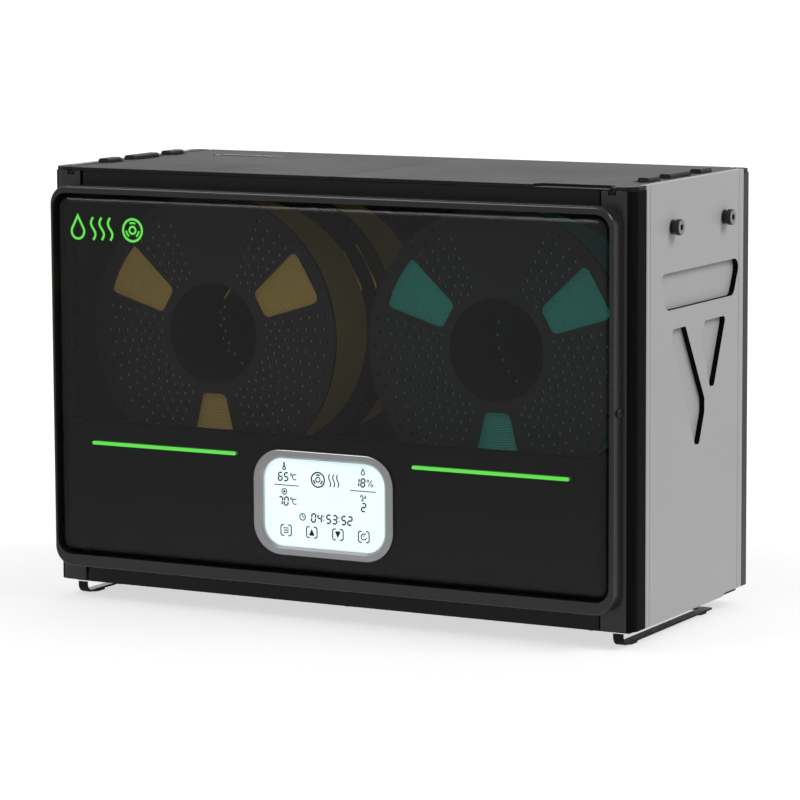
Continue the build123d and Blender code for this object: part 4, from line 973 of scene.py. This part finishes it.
def display_strokes():
    """Digits, icons and touch keys of the display, laid out from its middle."""
    middle_x = (SCREEN_LOW.x + SCREEN_HIGH.x) / 2
    middle_z = (SCREEN_LOW.z + SCREEN_HIGH.z) / 2
    strokes = []

    def add(points, width=0.55, closed=False):
        strokes.append((
            [(middle_x + x * MM, middle_z + z * MM) for x, z in points], 1.35 * width * MM, closed
        ))

    def number(text, x, z, height, pitch, width=0.75):
        for place, character in enumerate(text):
            for stroke in digit_strokes(character, x + pitch * place, z, height):
                add(stroke, width)

    def degrees_c(x, z):
        add(ring(x, z + 4.3, 0.75, 12), 0.4, True)
        add(arc(x + 2.9, z + 2.5, 1.9, 50, 310, 10), 0.5)

    number("65", -37.0, 15.0, 5.6, 4.6)
    degrees_c(-26.6, 15.4)
    number("70", -37.0, -2.2, 5.6, 4.6)
    degrees_c(-26.6, -1.8)
    add([(-40.5, 11.9), (-20.5, 11.9)], 0.45)
    number("18", 24.2, 15.0, 5.6, 4.6)
    add([(34.6, 15.6), (37.6, 20.2)], 0.45)
    add(ring(34.5, 19.4, 0.8, 12), 0.4, True)
    add(ring(37.6, 16.3, 0.8, 12), 0.4, True)
    add([(20.5, 11.9), (40.5, 11.9)], 0.45)
    number("2", 29.3, -2.2, 5.6, 4.6)

    # Thermometer, drop, target and fan icons over the numbers
    add([(-32.2, 24.6), (-32.2, 28.0)], 0.9)
    add(ring(-32.2, 23.9, 1.1, 14), 0.6, True)
    add(ring(-32.2, 7.3, 2.0, 18), 0.5, True)
    add([(-32.2, 6.2), (-32.2, 8.4)], 0.5)
    add([(-33.3, 7.3), (-31.1, 7.3)], 0.5)
    add(drop(30.6, 24.6, 1.3), 0.5, True)
    for turn in (0, 120, 240):
        blade = arc(30.6, 7.3, 2.1, turn, turn + 55, 5)
        add([(30.6, 7.3)] + blade, 0.5)

    # Spool and heat waves in the middle
    add(ring(-5.2, 17.4, 5.2, 28), 0.75, True)
    add(ring(-5.2, 17.4, 1.7, 16), 0.6, True)
    for turn in (90, 210, 330):
        add(arc(-5.2, 17.4, 3.4, turn - 24, turn + 24, 6), 0.8)
    for place in range(3):
        x = 4.2 + 3.2 * place
        add([(x + 0.8 * math.sin(k * math.pi / 5), 13.0 + 0.9 * k) for k in range(11)], 0.6)

    # Clock and running time
    add(ring(-17.6, -9.6, 2.3, 20), 0.55, True)
    add([(-17.6, -8.1), (-17.6, -9.7), (-16.3, -9.7)], 0.45)
    for pair, x in (("04", -10.6), ("53", 1.4), ("52", 13.4)):
        number(pair, x, -12.6, 5.8, 4.9, 0.8)
    for x in (-0.6, 11.4):
        for z in (-8.0, -10.8):
            add([(x - 0.35, z), (x + 0.35, z)], 0.7)

    # Four touch keys in corner brackets
    for place, x in enumerate((-31.0, -10.4, 10.4, 31.0)):
        for side in (-1, 1):
            bracket = [(x + side * 1.6, -16.2), (x + side * 3.2, -16.2), (x + side * 4.2, -17.2),
                       (x + side * 4.2, -22.8), (x + side * 3.2, -23.8), (x + side * 1.6, -23.8)]
            add(bracket, 0.6)
        if place == 0:
            for z in (-18.4, -20.0, -21.6):
                add([(x - 2.0, z), (x + 2.0, z)], 0.55)
        elif place in (1, 2):
            way = 1 if place == 1 else -1
            for k in range(5):
                half = 0.25 + 0.42 * k
                z = -20.0 + way * (1.7 - 0.85 * k)
                add([(x - half, z), (x + half, z)], 0.95)
        else:
            add(arc(x, -20.0, 2.1, 60, 350, 18), 0.55)
            add([(x + 1.0, -18.4), (x + 1.2, -17.6)], 0.5)
            add([(x, -20.0), (x, -18.9)], 0.5)
    return strokes


def mark_strokes():
    """Pictogram of dry filament: a drop, three waves of warm air and a spool."""
    strokes = []
    base_x, base_z, height = -205 * MM, CASE_LOW + 249.5 * MM, 17 * MM

    def add(points, width=1.7, closed=False):
        placed = [(base_x + x * height, base_z + z * height) for x, z in points]
        strokes.append((placed, width * MM, closed))

    add(drop(0.36, 0.36, 0.31, 26), 1.7, True)
    for place in range(3):
        x = 1.12 + 0.42 * place
        add([(x + 0.11 * math.sin(k * math.pi / 6), 0.03 + 0.94 * k / 12) for k in range(13)])
    add(ring(3.06, 0.5, 0.46, 40), 1.7, True)
    add(ring(3.06, 0.5, 0.15, 20), 1.5, True)
    for turn in (90, 210, 330):
        add(arc(3.06, 0.5, 0.305, turn - 26, turn + 26, 8), 1.3)
    return strokes


ink_piece(
    "display_segments", display_strokes(), SCREEN_LOW.y - 0.12 * MM, 0.2 * MM,
    "case", M["digits"],
)
ink_piece(
    "front_pictogram", mark_strokes(), WINDOW_FRONT - 0.2 * MM, 0.35 * MM,
    "case", M["green"],
)


# ---------------------------------------------------------------- stage, light and camera

def area_light(name, spot, target, size, power, colour=(1, 1, 1)):
    """Soft rectangular lamp aimed at a point."""
    data = bpy.data.lights.new(name, "AREA")
    data.shape = "RECTANGLE"
    data.size, data.size_y = size
    data.energy = power
    data.color = colour
    lamp = bpy.data.objects.new(name, data)
    lamp.location = spot
    lamp.rotation_euler = (Vector(target) - Vector(spot)).to_track_quat("-Z", "Y").to_euler()
    bpy.context.scene.collection.objects.link(lamp)
    return lamp


def make_stage():
    """Pale floor and a white surround."""
    sheet = bmesh.new()
    bmesh.ops.create_grid(sheet, x_segments=1, y_segments=1, size=1.0)
    mesh = bpy.data.meshes.new("floor")
    sheet.to_mesh(mesh)
    sheet.free()
    floor = bpy.data.objects.new("floor", mesh)
    bpy.context.scene.collection.objects.link(floor)
    material, tree, surface = shader("floor_white", Roughness=0.9, Specular_IOR_Level=0.0)
    surface.inputs["Base Color"].default_value = (0.93, 0.93, 0.93, 1)
    place = node(tree, "ShaderNodeTexCoord")
    away = node(tree, "ShaderNodeVectorMath", operation="LENGTH")
    tree.links.new(place.outputs["Object"], away.inputs[0])
    fade = node(
        tree, "ShaderNodeMapRange", {"From Min": 0.3, "From Max": 0.75, "To Min": 0.45, "To Max": 0.0}
    )
    tree.links.new(away.outputs["Value"], fade.inputs["Value"])
    tree.links.new(fade.outputs["Result"], surface.inputs["Alpha"])
    mesh.materials.append(material)

    world = bpy.data.worlds.new("studio")
    world.use_nodes = True
    bpy.context.scene.world = world
    tree = world.node_tree
    background = tree.nodes["Background"]
    path = node(tree, "ShaderNodeLightPath")
    strength = node(tree, "ShaderNodeMapRange", {"To Min": 0.5, "To Max": 1.15})
    tree.links.new(path.outputs["Is Camera Ray"], strength.inputs["Value"])
    tree.links.new(strength.outputs["Result"], background.inputs["Strength"])
    background.inputs["Color"].default_value = (1, 1, 1, 1)


def make_camera():
    """Camera at a low front-right viewpoint with a long lens."""
    azimuth, elevation, roll = math.radians(28.42), math.radians(7.43), math.radians(-0.28)
    distance, focal, sensor = 2.7249, 170.87, 36.0
    aim = Vector((0.0, SHELL_FRONT + 0.100, CASE_LOW + 0.150))
    back = Vector((
        math.sin(azimuth) * math.cos(elevation),
        -math.cos(azimuth) * math.cos(elevation),
        math.sin(elevation),
    ))
    right = Vector((math.cos(azimuth), math.sin(azimuth), 0.0))
    up = back.cross(right)
    turned_right = right * math.cos(roll) + up * math.sin(roll)
    turned_up = up * math.cos(roll) - right * math.sin(roll)
    data = bpy.data.cameras.new("camera")
    data.lens = focal
    data.sensor_width = sensor
    data.shift_x = -0.00105
    data.shift_y = -0.0307
    data.clip_start, data.clip_end = 0.1, 50.0
    camera = bpy.data.objects.new("camera", data)
    camera.matrix_world = Matrix((
        (turned_right.x, turned_up.x, back.x, 0),
        (turned_right.y, turned_up.y, back.y, 0),
        (turned_right.z, turned_up.z, back.z, 0),
        (0, 0, 0, 1),
    ))
    camera.location = aim + back * distance
    bpy.context.scene.collection.objects.link(camera)
    bpy.context.scene.camera = camera


make_stage()
make_camera()
centre = (cad_box[0] + cad_box[1]) / 2
area_light("key_light", (-1.2, -1.6, 2.2), centre, (1.4, 1.0), 22)
area_light("side_light", (2.1, 0.3, 2.1), centre, (1.2, 1.2), 36)
area_light("back_light", (-1.0, 2.2, 1.9), centre, (1.8, 0.8), 7)
bpy.context.scene.view_settings.view_transform = "Standard"
